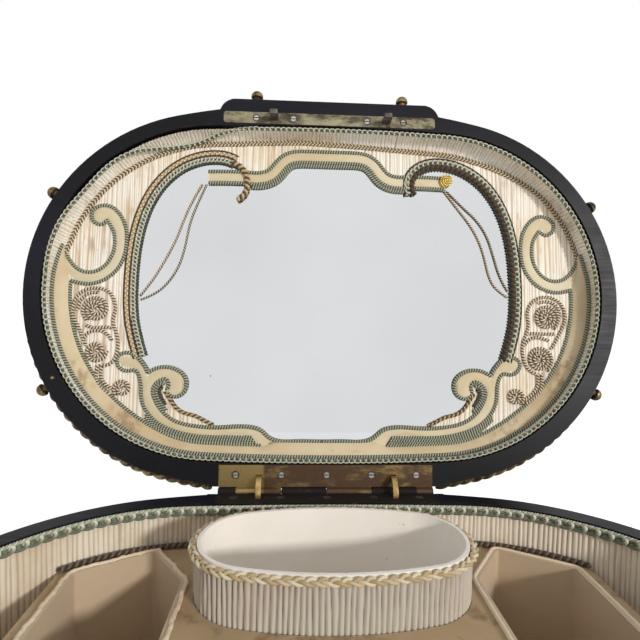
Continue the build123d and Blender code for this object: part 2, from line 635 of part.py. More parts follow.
def build_lock():
    """Strike plate and hooks on the lid; lock plate, case, bolt and escutcheon on the base."""
    strike = slab(plate_face(), LID_RIM, LID_RIM + PLATE_THICKNESS) - hook_slots(SCREW_CLEARANCE)
    strike -= screws(PLATE_SCREWS, LID_RIM, up=False, clearance=SCREW_CLEARANCE)
    NODES["strike_plate"] = OPENED * strike
    NODES["strike_hooks"] = OPENED * (Part() + [hook(-HOOK_X), hook(HOOK_X)])
    NODES["strike_screws"] = OPENED * screws(PLATE_SCREWS, LID_RIM, up=False)

    plate = slab(plate_face(), BASE_RIM - PLATE_THICKNESS, BASE_RIM) - hook_slots(HOOK_CLEARANCE)
    plate -= screws(PLATE_SCREWS, BASE_RIM, clearance=SCREW_CLEARANCE)
    NODES["lock_plate"] = plate
    NODES["lock_screws"] = screws(PLATE_SCREWS, BASE_RIM)

    y, room = depth(HOOK_DEPTH), CASE_THICKNESS / 2 - CASE_WALL
    top = BASE_RIM - PLATE_THICKNESS
    low = RIM_HEIGHT - CASE_DEPTH + CASE_WALL
    inner_half = CASE_HALF - CASE_WALL
    inside = block(-inner_half, inner_half, y - room, y + room, low, top - CASE_WALL)
    case = lock_space() - inside - hook_slots(HOOK_CLEARANCE)
    case -= screws(PLATE_SCREWS, BASE_RIM, clearance=SCREW_CLEARANCE)
    case -= keyhole(HALF_DEPTH + TAB_REACH, 0)
    bar_top = min(RIM_HEIGHT - HOOK_REACH, BASE_RIM - SCREW_LENGTH) - BOLT_CLEARANCE
    bar_low = bar_top - BOLT_BAR
    ledge_top = bar_low - BOLT_CLEARANCE
    into = room + CASE_WALL / 2
    for x in (-HOOK_X, HOOK_X):
        case += block(x - BOLT_LEDGE, x + BOLT_LEDGE, y - into, y + into, ledge_top - BOLT_LEDGE, ledge_top)
    NODES["lock_case"] = case

    half = room - BOLT_CLEARANCE
    reach = HOOK_WIDTH / 2
    tooth_top = RIM_HEIGHT - HOOK_NOTCH_TOP - BOLT_CLEARANCE
    tooth_low = RIM_HEIGHT - HOOK_NOTCH_FLOOR + BOLT_CLEARANCE
    to_tooth = reach + (HOOK_NOTCH_DEPTH - BOLT_TRAVEL) + 2 * BOLT_CLEARANCE
    arm_back = to_tooth + BOLT_TOOTH + BOLT_ARM
    bolt = block(-HOOK_X - arm_back, HOOK_X + reach, y - half, y + half, bar_low, bar_top)
    for x in (-HOOK_X, HOOK_X):
        arm, neck, tooth = x - arm_back, x - to_tooth - BOLT_TOOTH, x - to_tooth
        bolt += block(arm, neck, y - half, y + half, bar_low, tooth_top)
        bolt += block(arm, tooth, y - half, y + half, tooth_low, tooth_top)
    tail_low = RIM_HEIGHT - KEYHOLE_DEPTH + KEYHOLE_RADIUS + BOLT_CLEARANCE
    bolt += block(-BOLT_TAIL_HALF, BOLT_TAIL_HALF, y - half, y + half, tail_low, bar_low)
    bit = KEYHOLE_RADIUS
    bolt -= block(-bit, bit, y - half - 1, y + half + 1, tail_low - 1, tail_low + bit)
    NODES["lock_bolt"] = bolt

    z = RIM_HEIGHT - KEYHOLE_DEPTH - KEYHOLE_RADIUS
    front = HALF_DEPTH + TAB_REACH
    plan_shape = Ellipse(ESCUTCHEON_HALF_WIDTH, ESCUTCHEON_HALF_HEIGHT)
    shape = Pos(0, -front, z) * Rot(90, 0, 0) * extrude(plan_shape, ESCUTCHEON_THICKNESS)
    NODES["escutcheon"] = shape - keyhole(front + 2 * ESCUTCHEON_THICKNESS, front - 1)


def build_lid_mounts():
    """Gilt rope moulding and bosses on the outside of the lid."""
    z = RIM_HEIGHT + ROPE_HEIGHT
    path = Pos(0, 0, z) * case_oval(-ROPE_REACH).wire()
    section = Plane(origin=path @ 0, z_dir=path % 0) * Circle(ROPE_RADIUS)
    low, high = z - 2 * ROPE_RADIUS, z + 2 * ROPE_RADIUS
    rope = sweep(section, path=path) - slab(case_oval(-SCREW_CLEARANCE), low, high)
    room = BLOCK_HALF + 2 * SCREW_CLEARANCE
    rope -= block(-room, room, -2 * HALF_DEPTH, 2 * HALF_DEPTH, low, high)
    NODES["rope_moulding"] = OPENED * rope

    neck, reach, radius = STUD_NECK, STUD_REACH, STUD_RADIUS
    brim = reach / 2
    centre = (reach**2 - brim**2 - radius**2) / (2 * (reach - brim))
    ball = reach - centre
    shoulder = (ball * cos(radians(45)), centre + ball * sin(radians(45)))
    profile = make_face([
        Polyline((0, 0), (neck * 1.5, 0), (neck, reach * 0.25), (neck, reach * 0.42), (radius, brim)),
        ThreePointArc((radius, brim), shoulder, (0, reach)),
        Line((0, reach), (0, 0)),
    ])
    stud = revolve(profile, Axis.Y)
    front = -(HALF_DEPTH + TAB_REACH + SCREW_CLEARANCE)
    low = RIM_HEIGHT + STUD_HEIGHT
    studs = [Pos(x, front, low) * Rot(0, 0, 180) * stud for x in (-FRONT_STUD_X, FRONT_STUD_X)]
    arm = HALF_WIDTH - END_RADIUS
    out = END_RADIUS + SCREW_CLEARANCE
    for side in (-1, 1):
        for turn in (-SIDE_STUD_ANGLE, SIDE_STUD_ANGLE):
            angle = radians(turn)
            place = Pos(side * (arm + out * cos(angle)), out * sin(angle), low)
            studs.append(place * Rot(0, 0, side * (turn - 90)) * stud)
    NODES["lid_bosses"] = OPENED * (Part() + studs)


def build_base_lining():
    """Silk wall, gimp, floor pad and the fitted insert with its boxes and cup."""
    gap = LINING_CLEARANCE
    gimp_low = BASE_RIM - GIMP_FROM_RIM - BASE_GIMP_HEIGHT
    outer = rim_oval(gap)
    lining = slab(outer, FLOOR_TOP + gap, gimp_low - gap)
    NODES["base_lining"] = lining - slab(rim_oval(LINING), 0, RIM_HEIGHT)
    gimp = slab(outer, gimp_low, BASE_RIM - GIMP_FROM_RIM)
    NODES["base_gimp"] = gimp - slab(rim_oval(GIMP_WIDTH), 0, RIM_HEIGHT)
    NODES["floor_pad"] = slab(rim_oval(LINING + gap), FLOOR_TOP + gap, PAD_TOP)

    inner = rim_oval(LINING + FIT_CLEARANCE)
    span = Pos(0, INNER_Y) * Rectangle(2 * INSERT_HALF, 3 * HALF_DEPTH)
    board = slab(inner & span, INSERT_TOP - INSERT_BOARD, INSERT_TOP)
    for mirrored in (-1, 1):
        board -= slab(side_box_face(mirrored, FIT_CLEARANCE), 0, RIM_HEIGHT)
    board -= slab(front_box_face(FIT_CLEARANCE), 0, RIM_HEIGHT)
    board -= slab(cup_face(-SKIRT - FIT_CLEARANCE), 0, RIM_HEIGHT)
    NODES["insert_board"] = board

    ends = Part()
    for side in (-1, 1):
        x = side * (INSERT_HALF - INSERT_END_WALL / 2)
        strip = Pos(x, INNER_Y) * Rectangle(INSERT_END_WALL, 3 * HALF_DEPTH)
        ends += slab(inner & strip, PAD_TOP + gap, INSERT_TOP - INSERT_BOARD - gap)
    NODES["insert_ends"] = ends

    cord_z = INSERT_TOP + CORD_RADIUS + SCREW_CLEARANCE
    path = Pos(0, 0, cord_z) * rim_oval(LINING + FIT_CLEARANCE + CORD_RADIUS).wire()
    section = Plane(origin=path @ 0, z_dir=path % 0) * RegularPolygon(CORD_RADIUS, 8)
    cord = sweep(section, path=path)
    cord &= block(-INSERT_HALF, INSERT_HALF, -2 * HALF_DEPTH, 2 * HALF_DEPTH, 0, RIM_HEIGHT)
    NODES["insert_cord"] = cord

    top = INSERT_TOP + BOX_PROUD
    for name, mirrored in (("side_box_left", -1), ("side_box_right", 1)):
        outside, inside = side_box_face(mirrored), side_box_face(mirrored, -BOX_WALL)
        NODES[name] = open_box(outside, inside, PAD_TOP + gap, top, BOX_WALL)
    NODES["front_box"] = open_box(front_box_face(), front_box_face(-BOX_WALL), PAD_TOP + gap, top, BOX_WALL)

    cup_top = RIM_HEIGHT + CUP_PROUD
    NODES["cup"] = open_box(cup_face(), cup_face(CUP_WALL), PAD_TOP + gap, cup_top, CUP_WALL)
    skirt_top = cup_top - 2 * CUP_BRAID_RADIUS - SKIRT_CLEARANCE
    skirt = slab(cup_face(-SKIRT), INSERT_TOP - INSERT_BOARD, skirt_top)
    NODES["cup_skirt"] = skirt - slab(cup_face(-SCREW_CLEARANCE), 0, 2 * RIM_HEIGHT)
    path = Pos(0, 0, cup_top - CUP_BRAID_RADIUS) * cup_face(-CUP_BRAID_RADIUS - SCREW_CLEARANCE).wire()
    section = Plane(origin=path @ 0, z_dir=path % 0) * RegularPolygon(CUP_BRAID_RADIUS, 8)
    NODES["cup_braid"] = sweep(section, path=path)


def side_box_face(mirrored, grow=0.0):
    """Plan of a side box: its back follows the wall and its inner side slants to the cup."""
    slant, back, inner_back, front = SIDE_BOX_DEPTHS
    corners = [
        (SIDE_BOX_INNER, inner_back), (SIDE_BOX_OUTER - SIDE_BOX_SLANT, slant),
        (SIDE_BOX_OUTER, back), (SIDE_BOX_OUTER, front), (SIDE_BOX_INNER, front),
    ]
    face = make_face(Polyline(*plan(corners, mirrored), close=True))
    face = fillet(face.vertices(), SIDE_BOX_CORNER)
    return offset(face, grow) if grow else face


def front_box_face(grow=0.0):
    """Plan of the long front box, rounded at its outer front corners."""
    back, front = depth(FRONT_BOX_BACK), depth(FRONT_BOX_FRONT)
    half = FRONT_BOX_HALF
    face = make_face(Polyline((-half, back), (half, back), (half, front), (-half, front), close=True))
    face = fillet(face.vertices().group_by(Axis.Y)[0], FRONT_BOX_CORNER)
    face = fillet(face.vertices().group_by(Axis.Y)[-1], SIDE_BOX_CORNER)
    return offset(face, grow) if grow else face


def cup_face(inset=0.0):
    """Plan of the oval cup."""
    middle = depth(CUP_DEPTH_FROM_HINGE)
    return oval(CUP_HALF_WIDTH - inset, CUP_HALF_DEPTH - inset, CUP_END_RADIUS - inset, middle)


def glass_face(grow=0.0):
    """Plan of the mirror glass."""
    middle = depth((GLASS_BACK + GLASS_FRONT) / 2)
    width, height = 2 * (GLASS_HALF + grow), GLASS_FRONT - GLASS_BACK + 2 * grow
    return Pos(0, middle) * RectangleRounded(width, height, GLASS_CORNER + grow)


def build_lid_lining():
    """Silk wall, gimp, panel, mirror and the cord along the panel's edge."""
    gap = LINING_CLEARANCE
    gimp_low = LID_RIM + GIMP_FROM_RIM
    gimp_high = gimp_low + LID_GIMP_HEIGHT
    outer = rim_oval(gap)
    gimp = slab(outer, gimp_low, gimp_high) - slab(rim_oval(GIMP_WIDTH), 0, 2 * RIM_HEIGHT)
    NODES["lid_gimp"] = OPENED * gimp
    lining = slab(outer, gimp_high + gap, ROOF_Z - gap) - slab(rim_oval(LINING), 0, 2 * RIM_HEIGHT)
    NODES["lid_lining"] = OPENED * lining
    edge = rim_oval(LINING + gap)
    panel = slab(edge, PANEL_Z, PANEL_Z + PANEL_THICKNESS)
    panel -= slab(glass_face(SCREW_CLEARANCE), PANEL_Z - 1, PANEL_Z + PANEL_THICKNESS + 1)
    NODES["lid_panel"] = OPENED * panel
    glass_z = PANEL_Z + GLASS_SETBACK
    NODES["mirror_glass"] = OPENED * slab(glass_face(), glass_z, glass_z + GLASS_THICKNESS)
    backing_z = PANEL_Z + PANEL_THICKNESS + SCREW_CLEARANCE
    backing_plan = glass_face(BACKING_MARGIN) & edge
    NODES["mirror_backing"] = OPENED * slab(backing_plan, backing_z, backing_z + BACKING_THICKNESS)

    cord_z = PANEL_Z - EDGE_CORD_RADIUS - SCREW_CLEARANCE
    path = Pos(0, 0, cord_z) * rim_oval(LINING + gap + EDGE_CORD_RADIUS).wire()
    section = Plane(origin=path @ 0, z_dir=path % 0) * RegularPolygon(EDGE_CORD_RADIUS, 8)
    cord = sweep(section, path=path)
    cord &= block(-HALF_WIDTH, HALF_WIDTH, -HALF_DEPTH, depth(BAND_END + RIBBON), 0, 2 * RIM_HEIGHT)
    NODES["panel_cord"] = OPENED * cord


def build_ribbons():
    """Silk ribbon, piping, coils and hanging cords on the lid's panel."""
    outer = rim_oval(LINING + LINING_CLEARANCE)
    inner = rim_oval(BAND_INNER_INSET)
    low = RIM_HEIGHT + BAND_OUTER_DEPTH
    high = PANEL_Z - SCREW_CLEARANCE
    under = low - 2 * RIBBON_THICKNESS
    funnel = loft([Pos(0, 0, low) * outer, Pos(0, 0, high) * inner], ruled=True)
    lifted = Pos(0, 0, RIBBON_THICKNESS) * (funnel + slab(outer, under, low))
    band = lifted - funnel - slab(rim_oval(0), under - RIBBON_THICKNESS, low)
    band &= block(-HALF_WIDTH, HALF_WIDTH, depth(BAND_END), HALF_DEPTH, low, high)
    NODES["edge_band"] = OPENED * band

    half = fitted(CARTOUCHE_HALF)
    whole = [(-x, d) for x, d in half[:0:-1]] + half
    cartouche = ribbon_face(whole, RIBBON, 1, round_start=False, round_end=False)
    NODES["cartouche_ribbon"] = OPENED * laid(cartouche)

    keep_in = rim_oval(BAND_INNER_INSET + LINING_CLEARANCE)
    room = RIBBON + 2 * LINING_CLEARANCE
    cartouche_room = laid(ribbon_face(whole, room, 1, False, False), RIBBON_THICKNESS + LINING_CLEARANCE)
    route, curl = fitted(FOOT_SCROLL), fitted(FOOT_CURL)
    for name, mirrored in (("left", -1), ("right", 1)):
        scroll = ribbon_face(fitted(C_SCROLL), RIBBON, mirrored, round_end=False) & keep_in
        NODES[f"c_scroll_{name}"] = OPENED * laid(scroll)
        foot = ribbon_face(route, RIBBON, mirrored, round_start=False)
        foot += ribbon_face(curl, RIBBON, mirrored, round_start=False)
        foot = Pos(FOOT_SHIFT, 0) * foot
        NODES[f"foot_scroll_{name}"] = OPENED * laid(foot & keep_in)
        foot_plan = Pos(FOOT_SHIFT, 0) * ribbon_face(route, room, mirrored, round_start=False)
        foot_room = laid(foot_plan, PIPING_HEIGHT)
        piping_plan = ribbon_face(fitted(PIPING), PIPING_WIDTH, mirrored, round_start=False)
        piping = laid(piping_plan, PIPING_HEIGHT)
        NODES[f"mirror_piping_{name}"] = OPENED * (piping - cartouche_room - foot_room)

    for name, places in (("left", LEFT_COILS), ("right", RIGHT_COILS)):
        NODES[f"rosettes_{name}"] = OPENED * (Part() + [coil(*place) for place in fitted(places)])
    on_ribbon = 0.1 + RIBBON_THICKNESS
    start = WIRE_PITCH / 2
    wire_place = fitted([WIRE_COIL])[0]
    NODES["wire_rosette"] = OPENED * coil(*wire_place, WIRE_CORD, WIRE_PITCH, start, on_ribbon)
    cord_gap = least_coil_gap(LEFT_COILS[0][2], COIL_CORD, COIL_PITCH, COIL_START)
    wire_gap = least_coil_gap(WIRE_COIL[2], WIRE_CORD, WIRE_PITCH, start)
    print(f"rosettes: least gap {cord_gap:.2f}, wire {wire_gap:.2f}")

    loops = {
        "loop_cord_left_outer": LEFT_OUTER_LOOP,
        "loop_cord_left_inner": LEFT_INNER_LOOP,
        "loop_cord_right_outer": RIGHT_OUTER_LOOP,
        "loop_cord_right_inner": RIGHT_INNER_LOOP,
    }
    for name, points in loops.items():
        NODES[name] = OPENED * loop_cord(name, fitted(points))


build_case()
build_hinge()
build_lock()
build_lid_mounts()
build_base_lining()
build_lid_lining()
build_ribbons()

os.makedirs("parts", exist_ok=True)
for node_name, solid in NODES.items():
    export_step(solid, f"parts/{node_name}.step")
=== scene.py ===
"""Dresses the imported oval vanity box: its silks, ribbons, cords, metalwork and ebonised wood.

Sizes are in millimetres and become metres where a mesh is made. Pieces of the lid are drawn as
X, distance from the hinge pin and height above the rim of the shut lid, and are then placed on
the open lid. Pieces of the base are drawn as X, distance from the hinge pin and height.
"""

from __future__ import annotations

import json
import logging
import math
from dataclasses import dataclass, replace
from enum import Enum
from functools import cache
from typing import Sequence, Union

import bpy
import numpy as np
from mathutils import Matrix, Vector

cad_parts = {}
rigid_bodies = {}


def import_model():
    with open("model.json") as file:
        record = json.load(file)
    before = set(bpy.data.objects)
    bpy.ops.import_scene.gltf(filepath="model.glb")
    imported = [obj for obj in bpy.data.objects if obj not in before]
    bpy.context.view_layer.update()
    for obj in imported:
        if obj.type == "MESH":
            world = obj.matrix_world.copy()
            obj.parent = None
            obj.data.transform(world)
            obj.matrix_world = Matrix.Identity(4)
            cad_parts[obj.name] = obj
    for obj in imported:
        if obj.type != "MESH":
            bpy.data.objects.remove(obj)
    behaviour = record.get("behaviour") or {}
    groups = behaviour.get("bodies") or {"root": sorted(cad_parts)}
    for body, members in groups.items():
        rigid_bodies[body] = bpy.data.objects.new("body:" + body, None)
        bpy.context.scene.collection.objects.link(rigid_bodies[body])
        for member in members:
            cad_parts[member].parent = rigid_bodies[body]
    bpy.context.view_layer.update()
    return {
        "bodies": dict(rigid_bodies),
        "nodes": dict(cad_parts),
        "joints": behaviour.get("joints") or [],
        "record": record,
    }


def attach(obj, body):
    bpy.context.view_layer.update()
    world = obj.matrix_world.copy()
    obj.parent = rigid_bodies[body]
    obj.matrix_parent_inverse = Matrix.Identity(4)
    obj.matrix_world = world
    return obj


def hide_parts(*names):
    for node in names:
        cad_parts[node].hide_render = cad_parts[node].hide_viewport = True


LOG = logging.getLogger("vanity_box")
MM = 0.001
TURN = 2.0 * math.pi

Piece = bpy.types.Object
Finish = bpy.types.Material
Socket = bpy.types.NodeSocket
Tree = bpy.types.NodeTree
Array = np.ndarray
Colour = tuple[int, int, int]
Spot = tuple[float, float, float, float]
Point = Sequence[float]
Points = Sequence[Point]
Value = Union[float, int, bool, str, tuple, Socket, Finish]


def shade(*eye: int) -> tuple[float, ...]:
    """Linear colour of a colour read as 0 to 255."""
    return tuple(((v / 255 + 0.055) / 1.055) ** 2.4 if v > 10 else v / 3295 for v in eye)


# Lines, ovals and places


def unit(vectors: Array) -> Array:
    """Vectors scaled to length one."""
    return vectors / np.maximum(np.linalg.norm(vectors, axis=-1, keepdims=True), 1e-9)


def smooth_step(value: Array, low: float, high: float) -> Array:
    """0 below low, 1 above high and smooth between."""
    share = np.clip((np.asarray(value, float) - low) / (high - low), 0.0, 1.0)
    return share * share * (3 - 2 * share)


def run_along(points: Array) -> Array:
    """Distance of each point from the first, along the line."""
    return np.concatenate([[0.0], np.cumsum(np.linalg.norm(np.diff(points, axis=0), axis=1))])


def resampled(points: Array, step: float, closed: bool = False) -> Array:
    """Points set out evenly along a line.

    Args:
        points: The line's points, one row each.
        step: Wanted distance between points.
        closed: Whether the line runs back to its start.

    Returns:
        The evenly spaced points, without a repeat of the first on a closed line.
    """
    line = np.vstack([points, points[:1]]) if closed else np.asarray(points, float)
    run = run_along(line)
    count = max(2, round(run[-1] / step))
    where = np.linspace(0.0, run[-1], count + 1)
    even = np.stack([np.interp(where, run, line[:, axis]) for axis in range(line.shape[1])], axis=1)
    return even[:-1] if closed else even


def spline_points(points: Points, per_gap: int) -> Array:
    """A natural cubic curve through knots.

    Args:
        points: The knots.
        per_gap: Number of points between each two knots.

    Returns:
        Points on the curve, as many in every gap.
    """
    knots = np.asarray(points, float)
    gaps = np.linalg.norm(np.diff(knots, axis=0), axis=1)
    count = len(knots)
    system = np.eye(count)
    wanted = np.zeros_like(knots)
    for i in range(1, count - 1):
        system[i, i - 1 : i + 2] = gaps[i - 1], 2 * (gaps[i - 1] + gaps[i]), gaps[i]
        rise = (knots[i + 1] - knots[i]) / gaps[i] - (knots[i] - knots[i - 1]) / gaps[i - 1]
        wanted[i] = 6 * rise
    bend = np.linalg.solve(system, wanted)
    pieces = []
    for i, h in enumerate(gaps):
        right = np.linspace(0.0, h, per_gap, endpoint=False)[:, None]
        left = h - right
        pieces.append(
            (bend[i] * left**3 + bend[i + 1] * right**3) / (6 * h)
            + (knots[i] / h - bend[i] * h / 6) * left
            + (knots[i + 1] / h - bend[i + 1] * h / 6) * right
        )
    return np.vstack([*pieces, knots[-1:]])


def flowing(points: Points, step: float = 0.4) -> Array:
    """A natural cubic curve through given points, with points evenly spaced."""
    return resampled(spline_points(points, 20), step)


def headings(points: Array, closed: bool = False) -> Array:
    """Unit directions along a line."""
    if closed:
        return unit(np.roll(points, -1, axis=0) - np.roll(points, 1, axis=0))
    return unit(np.gradient(points, axis=0))


def shifted(plan: Array, by: Union[float, Array], closed: bool = False) -> Array:
    """A plan line moved to its left by a distance, or by one distance for each point."""
    ahead = headings(plan, closed)
    left = np.stack([-ahead[:, 1], ahead[:, 0]], axis=1)
    return plan + left * (np.asarray(by)[:, None] if np.ndim(by) else by)


def lifted(plan: Array, height: Union[float, Array]) -> Array:
    """A plan line given a third coordinate."""
    return np.column_stack([plan, np.broadcast_to(height, len(plan))])


def unbroken(points: Array, keep: Array) -> Array:
    """The one run of a closed line's points that are kept.

    Args:
        points: Points of the closed line.
        keep: Whether each point is kept.

    Returns:
        The kept points in order, from where the run starts.
    """
    starts = np.flatnonzero(keep & ~np.roll(keep, 1))
    order = np.roll(np.arange(len(points)), -int(starts[0]))
    kept = keep[order]
    end = int(np.flatnonzero(~kept)[0]) if (~kept).any() else len(kept)
    return points[order[:end]]


def rounded(corners: Points, radius: float, step: float = 0.5) -> Array:
    """A closed plan line through corners that are rounded off.

    Args:
        corners: The corners, in order.
        radius: Distance from a corner at which its rounding starts.
        step: Distance between the points returned.

    Returns:
        Evenly spaced points of the closed line.
    """
    points = np.asarray(corners, float)
    line = []
    for before, corner, after in zip(np.roll(points, 1, axis=0), points, np.roll(points, -1, axis=0)):
        start = corner + unit(before - corner) * radius
        end = corner + unit(after - corner) * radius
        t = np.linspace(0, 1, 8)[:, None]
        line.append((1 - t) ** 2 * start + 2 * t * (1 - t) * corner + t**2 * end)
    return resampled(np.vstack(line), step, closed=True)


@dataclass(frozen=True)
class OvalPlan:
    """A four-centre oval in plan: two end arcs and two flatter side arcs.

    Attributes:
        half_width: Half of its size along X.
        half_depth: Half of its size across.
        end_radius: Radius of the end arcs.
        centre: Distance of its middle from the hinge pin.
    """

    half_width: float
    half_depth: float
    end_radius: float
    centre: float

    def inset(self, by: float) -> OvalPlan:
        """The oval drawn in by a distance."""
        return OvalPlan(self.half_width - by, self.half_depth - by, self.end_radius - by, self.centre)

    def points(self, step: float) -> Array:
        """The closed outline, from the right end round by the front, with points a step apart."""
        reach = self.half_width - self.end_radius
        rise = self.half_depth - self.end_radius
        drop = (reach**2 - rise**2) / (2 * rise)
        turn = math.atan2(drop, reach)
        end = np.linspace(0.0, turn, 160)
        side = np.linspace(turn, math.pi / 2, 160)
        flat = self.half_depth + drop
        x = np.concatenate([reach + self.end_radius * np.cos(end), flat * np.cos(side)])
        y = np.concatenate([self.end_radius * np.sin(end), flat * np.sin(side) - drop])
        quarter = np.stack([x, y], axis=1)
        half = np.vstack([quarter, quarter[::-1] * (-1, 1)])
        whole = np.vstack([half, half[::-1] * (1, -1)])
        whole[:, 1] += self.centre
        return resampled(whole, step, closed=True)


@dataclass(frozen=True)
class Place:
    """Turns drawn points into points of the frame at rest."""

    origin: Point
    along_depth: Point
    along_height: Point

    def turned(self, drawn: Array) -> Array:
        """Drawn directions as directions of the frame."""
        return np.asarray(drawn, float) @ np.stack([(1.0, 0.0, 0.0), self.along_depth, self.along_height])

    def points(self, drawn: Array) -> Array:
        """Drawn points as points of the frame, in millimetres."""
        return self.turned(drawn) + np.asarray(self.origin, float)

    def inward(self, plan: Array, closed: bool = False) -> Array:
        """Directions of the frame to the left of a plan line, which is inwards on an oval."""
        ahead = headings(plan, closed)
        return unit(self.turned(np.column_stack([-ahead[:, 1], ahead[:, 0], np.zeros(len(plan))])))


HINGE_Y = 104.0
RIM = 84.0
LID_OPEN = math.radians(98.0)
CASE = OvalPlan(160.0, 105.6, 98.7, 104.0)
RIM_EDGE = OvalPlan(151.7, 91.8, 90.4, 105.3)
PANEL = 14.0

BASE_PLACE = Place((0.0, HINGE_Y, 0.0), (0.0, -1.0, 0.0), (0.0, 0.0, 1.0))
LID_PLACE = Place(
    (0.0, HINGE_Y, RIM),
    (0.0, -math.cos(LID_OPEN), math.sin(LID_OPEN)),
    (0.0, math.sin(LID_OPEN), math.cos(LID_OPEN)),
)
TO_VIEWER = unit(LID_PLACE.turned(np.array([0.0, 0.0, -1.0])))
UPWARDS = np.array([0.0, 0.0, 1.0])


# Meshes


def read(data: bpy.types.bpy_prop_collection, name: str, kind: type = float) -> Array:
    """Values in threes of a mesh's vertices or triangles, one row each."""
    values = np.zeros(len(data) * 3, dtype=kind)
    data.foreach_get(name, values)
    return values.reshape(-1, 3)


def new_object(name: str, data: bpy.types.ID) -> Piece:
    """An object at the origin that holds a mesh or other data."""
    made = bpy.data.objects.new(name, data)
    bpy.context.scene.collection.objects.link(made)
    return made


def mesh_object(
    name: str,
    points: Array,
    faces: Sequence[Sequence[int]],
    edges: Sequence[Sequence[int]] = (),
    uv: Array | None = None,
    **fields: Array,
) -> Piece:
    """A smooth mesh from points in millimetres.

    Args:
        name: Name of the piece.
        points: Its points, one row each.
        faces: Point numbers of each face.
        edges: Point numbers of loose edges.
        uv: A place on the cloth for each point, in millimetres.
        fields: Values kept on the points under their own names, single or in threes.

    Returns:
        The new object.
    """
    mesh = bpy.data.meshes.new(name)
    mesh.from_pydata((np.asarray(points) * MM).tolist(), [tuple(e) for e in edges], [tuple(f) for f in faces])
    for label, values in fields.items():
        values = np.asarray(values, float)
        kind, slot = ("FLOAT", "value") if values.ndim == 1 else ("FLOAT_VECTOR", "vector")
        layer = mesh.attributes.new(label, kind, "POINT")
        layer.data.foreach_set(slot, values.ravel())
    if uv is not None:
        layer = mesh.uv_layers.new(name="cloth")
        corners = np.zeros(len(mesh.loops), dtype=np.int64)
        mesh.loops.foreach_get("vertex_index", corners)
        layer.data.foreach_set("uv", (np.asarray(uv, float) * MM)[corners].ravel())
    if faces:
        mesh.polygons.foreach_set("use_smooth", np.ones(len(mesh.polygons), dtype=bool))
    mesh.validate()
    mesh.update()
    return new_object(name, mesh)


def lattice(rows: int, columns: int, wrapped: bool = False) -> list[tuple[int, ...]]:
    """Four-sided faces between rows of points.

    Args:
        rows: Number of rows.
        columns: Number of points in each row.
        wrapped: Whether each row is a ring.

    Returns:
        Point numbers of each face.
    """
    faces = []
    for r in range(rows - 1):
        for c in range(columns if wrapped else columns - 1):
            a, b = r * columns + c, r * columns + (c + 1) % columns
            faces.append((a, b, b + columns, a + columns))
    return faces


def capped(rows: int, columns: int) -> list[tuple[int, ...]]:
    """Faces of rings of points joined into a closed solid with an end at each side."""
    last = range((rows - 1) * columns, rows * columns)
    return [*lattice(rows, columns, wrapped=True), tuple(range(columns)), tuple(last)[::-1]]


def faced(made: Piece, towards: Array) -> Piece:
    """Turns an open sheet's faces so that they look along a direction, or along one for each point."""
    if (read(made.data.vertices, "normal") * towards).sum() < 0:
        made.data.flip_normals()
    return made


def closed_outwards(made: Piece) -> Piece:
    """Turns a closed mesh's faces outwards, by the sign of its volume."""
    mesh = made.data
    mesh.calc_loop_triangles()
    corners = read(mesh.loop_triangles, "vertices", np.int64)
    a, b, c = read(mesh.vertices, "co")[corners].transpose(1, 0, 2)
    if (a * np.cross(b, c)).sum() < 0:
        mesh.flip_normals()
    return made


def ribbon_shell(
    name: str, left: Array, right: Array, up: Array, crown: float, thickness: float
) -> Piece:
    """A crowned strip between two edges, closed underneath and at its ends.

    Args:
        name: Name of the piece.
        left: Points of one edge.
        right: Points of the other edge, as many.
        up: The way that its face looks, one direction or one for each point.
        crown: Height of its middle over its edges.
        thickness: Depth from its edges to its underside.

    Returns:
        The strip, with its place on the cloth kept as its UV map.
    """
    across = np.array([0.0, 0.06, 0.16, 0.32, 0.5, 0.68, 0.84, 0.94, 1.0])
    arch = 1 - np.abs(2 * across - 1) ** 2.6
    up = np.broadcast_to(up, left.shape)
    top = left[:, None] + (right - left)[:, None] * across[None, :, None]
    top = top + up[:, None] * (crown * arch)[None, :, None]
    under = np.stack([right, left], axis=1) - up[:, None] * thickness
    ring = np.concatenate([top, under], axis=1)
    run = run_along((left + right) / 2)
    count, size = ring.shape[:2]
    place = np.concatenate([across, [1.0, 0.0]])
    width = np.linalg.norm(right - left, axis=1)[:, None] * place[None]
    uv = np.stack([np.broadcast_to(run[:, None], width.shape), width], axis=-1).reshape(-1, 2)
    return closed_outwards(mesh_object(name, ring.reshape(-1, 3), capped(count, size), uv=uv))


def wall_sheet(
    name: str, outline: Array, place: Place, heights: Sequence, insets: Sequence, outwards: int = 1
) -> Piece:
    """An upright sheet along a closed outline, ready to be gathered.

    Args:
        name: Name of the piece.
        outline: The closed plan line.
        place: Where it is drawn.
        heights: Heights of its rows.
        insets: Distance inwards of each row, single or for each point.
        outwards: 1 to look inwards, or minus 1 to look outwards.

    Returns:
        The sheet, with its run, rise and outward direction on its points.
    """
    plans = [shifted(outline, inset, closed=True) for inset in insets]
    rows = [place.points(lifted(plan, height)) for plan, height in zip(plans, heights)]
    count = len(outline)
    look = np.tile(place.inward(outline, closed=True) * outwards, (len(rows), 1))
    run = np.tile(run_along(outline) * MM, len(rows))
    share = (np.asarray(heights, float) - heights[0]) / (heights[-1] - heights[0])
    faces = lattice(len(rows), count, wrapped=True)
    made = mesh_object(name, np.vstack(rows), faces, run=run, rise=np.repeat(share, count), out=look)
    return faced(made, look)


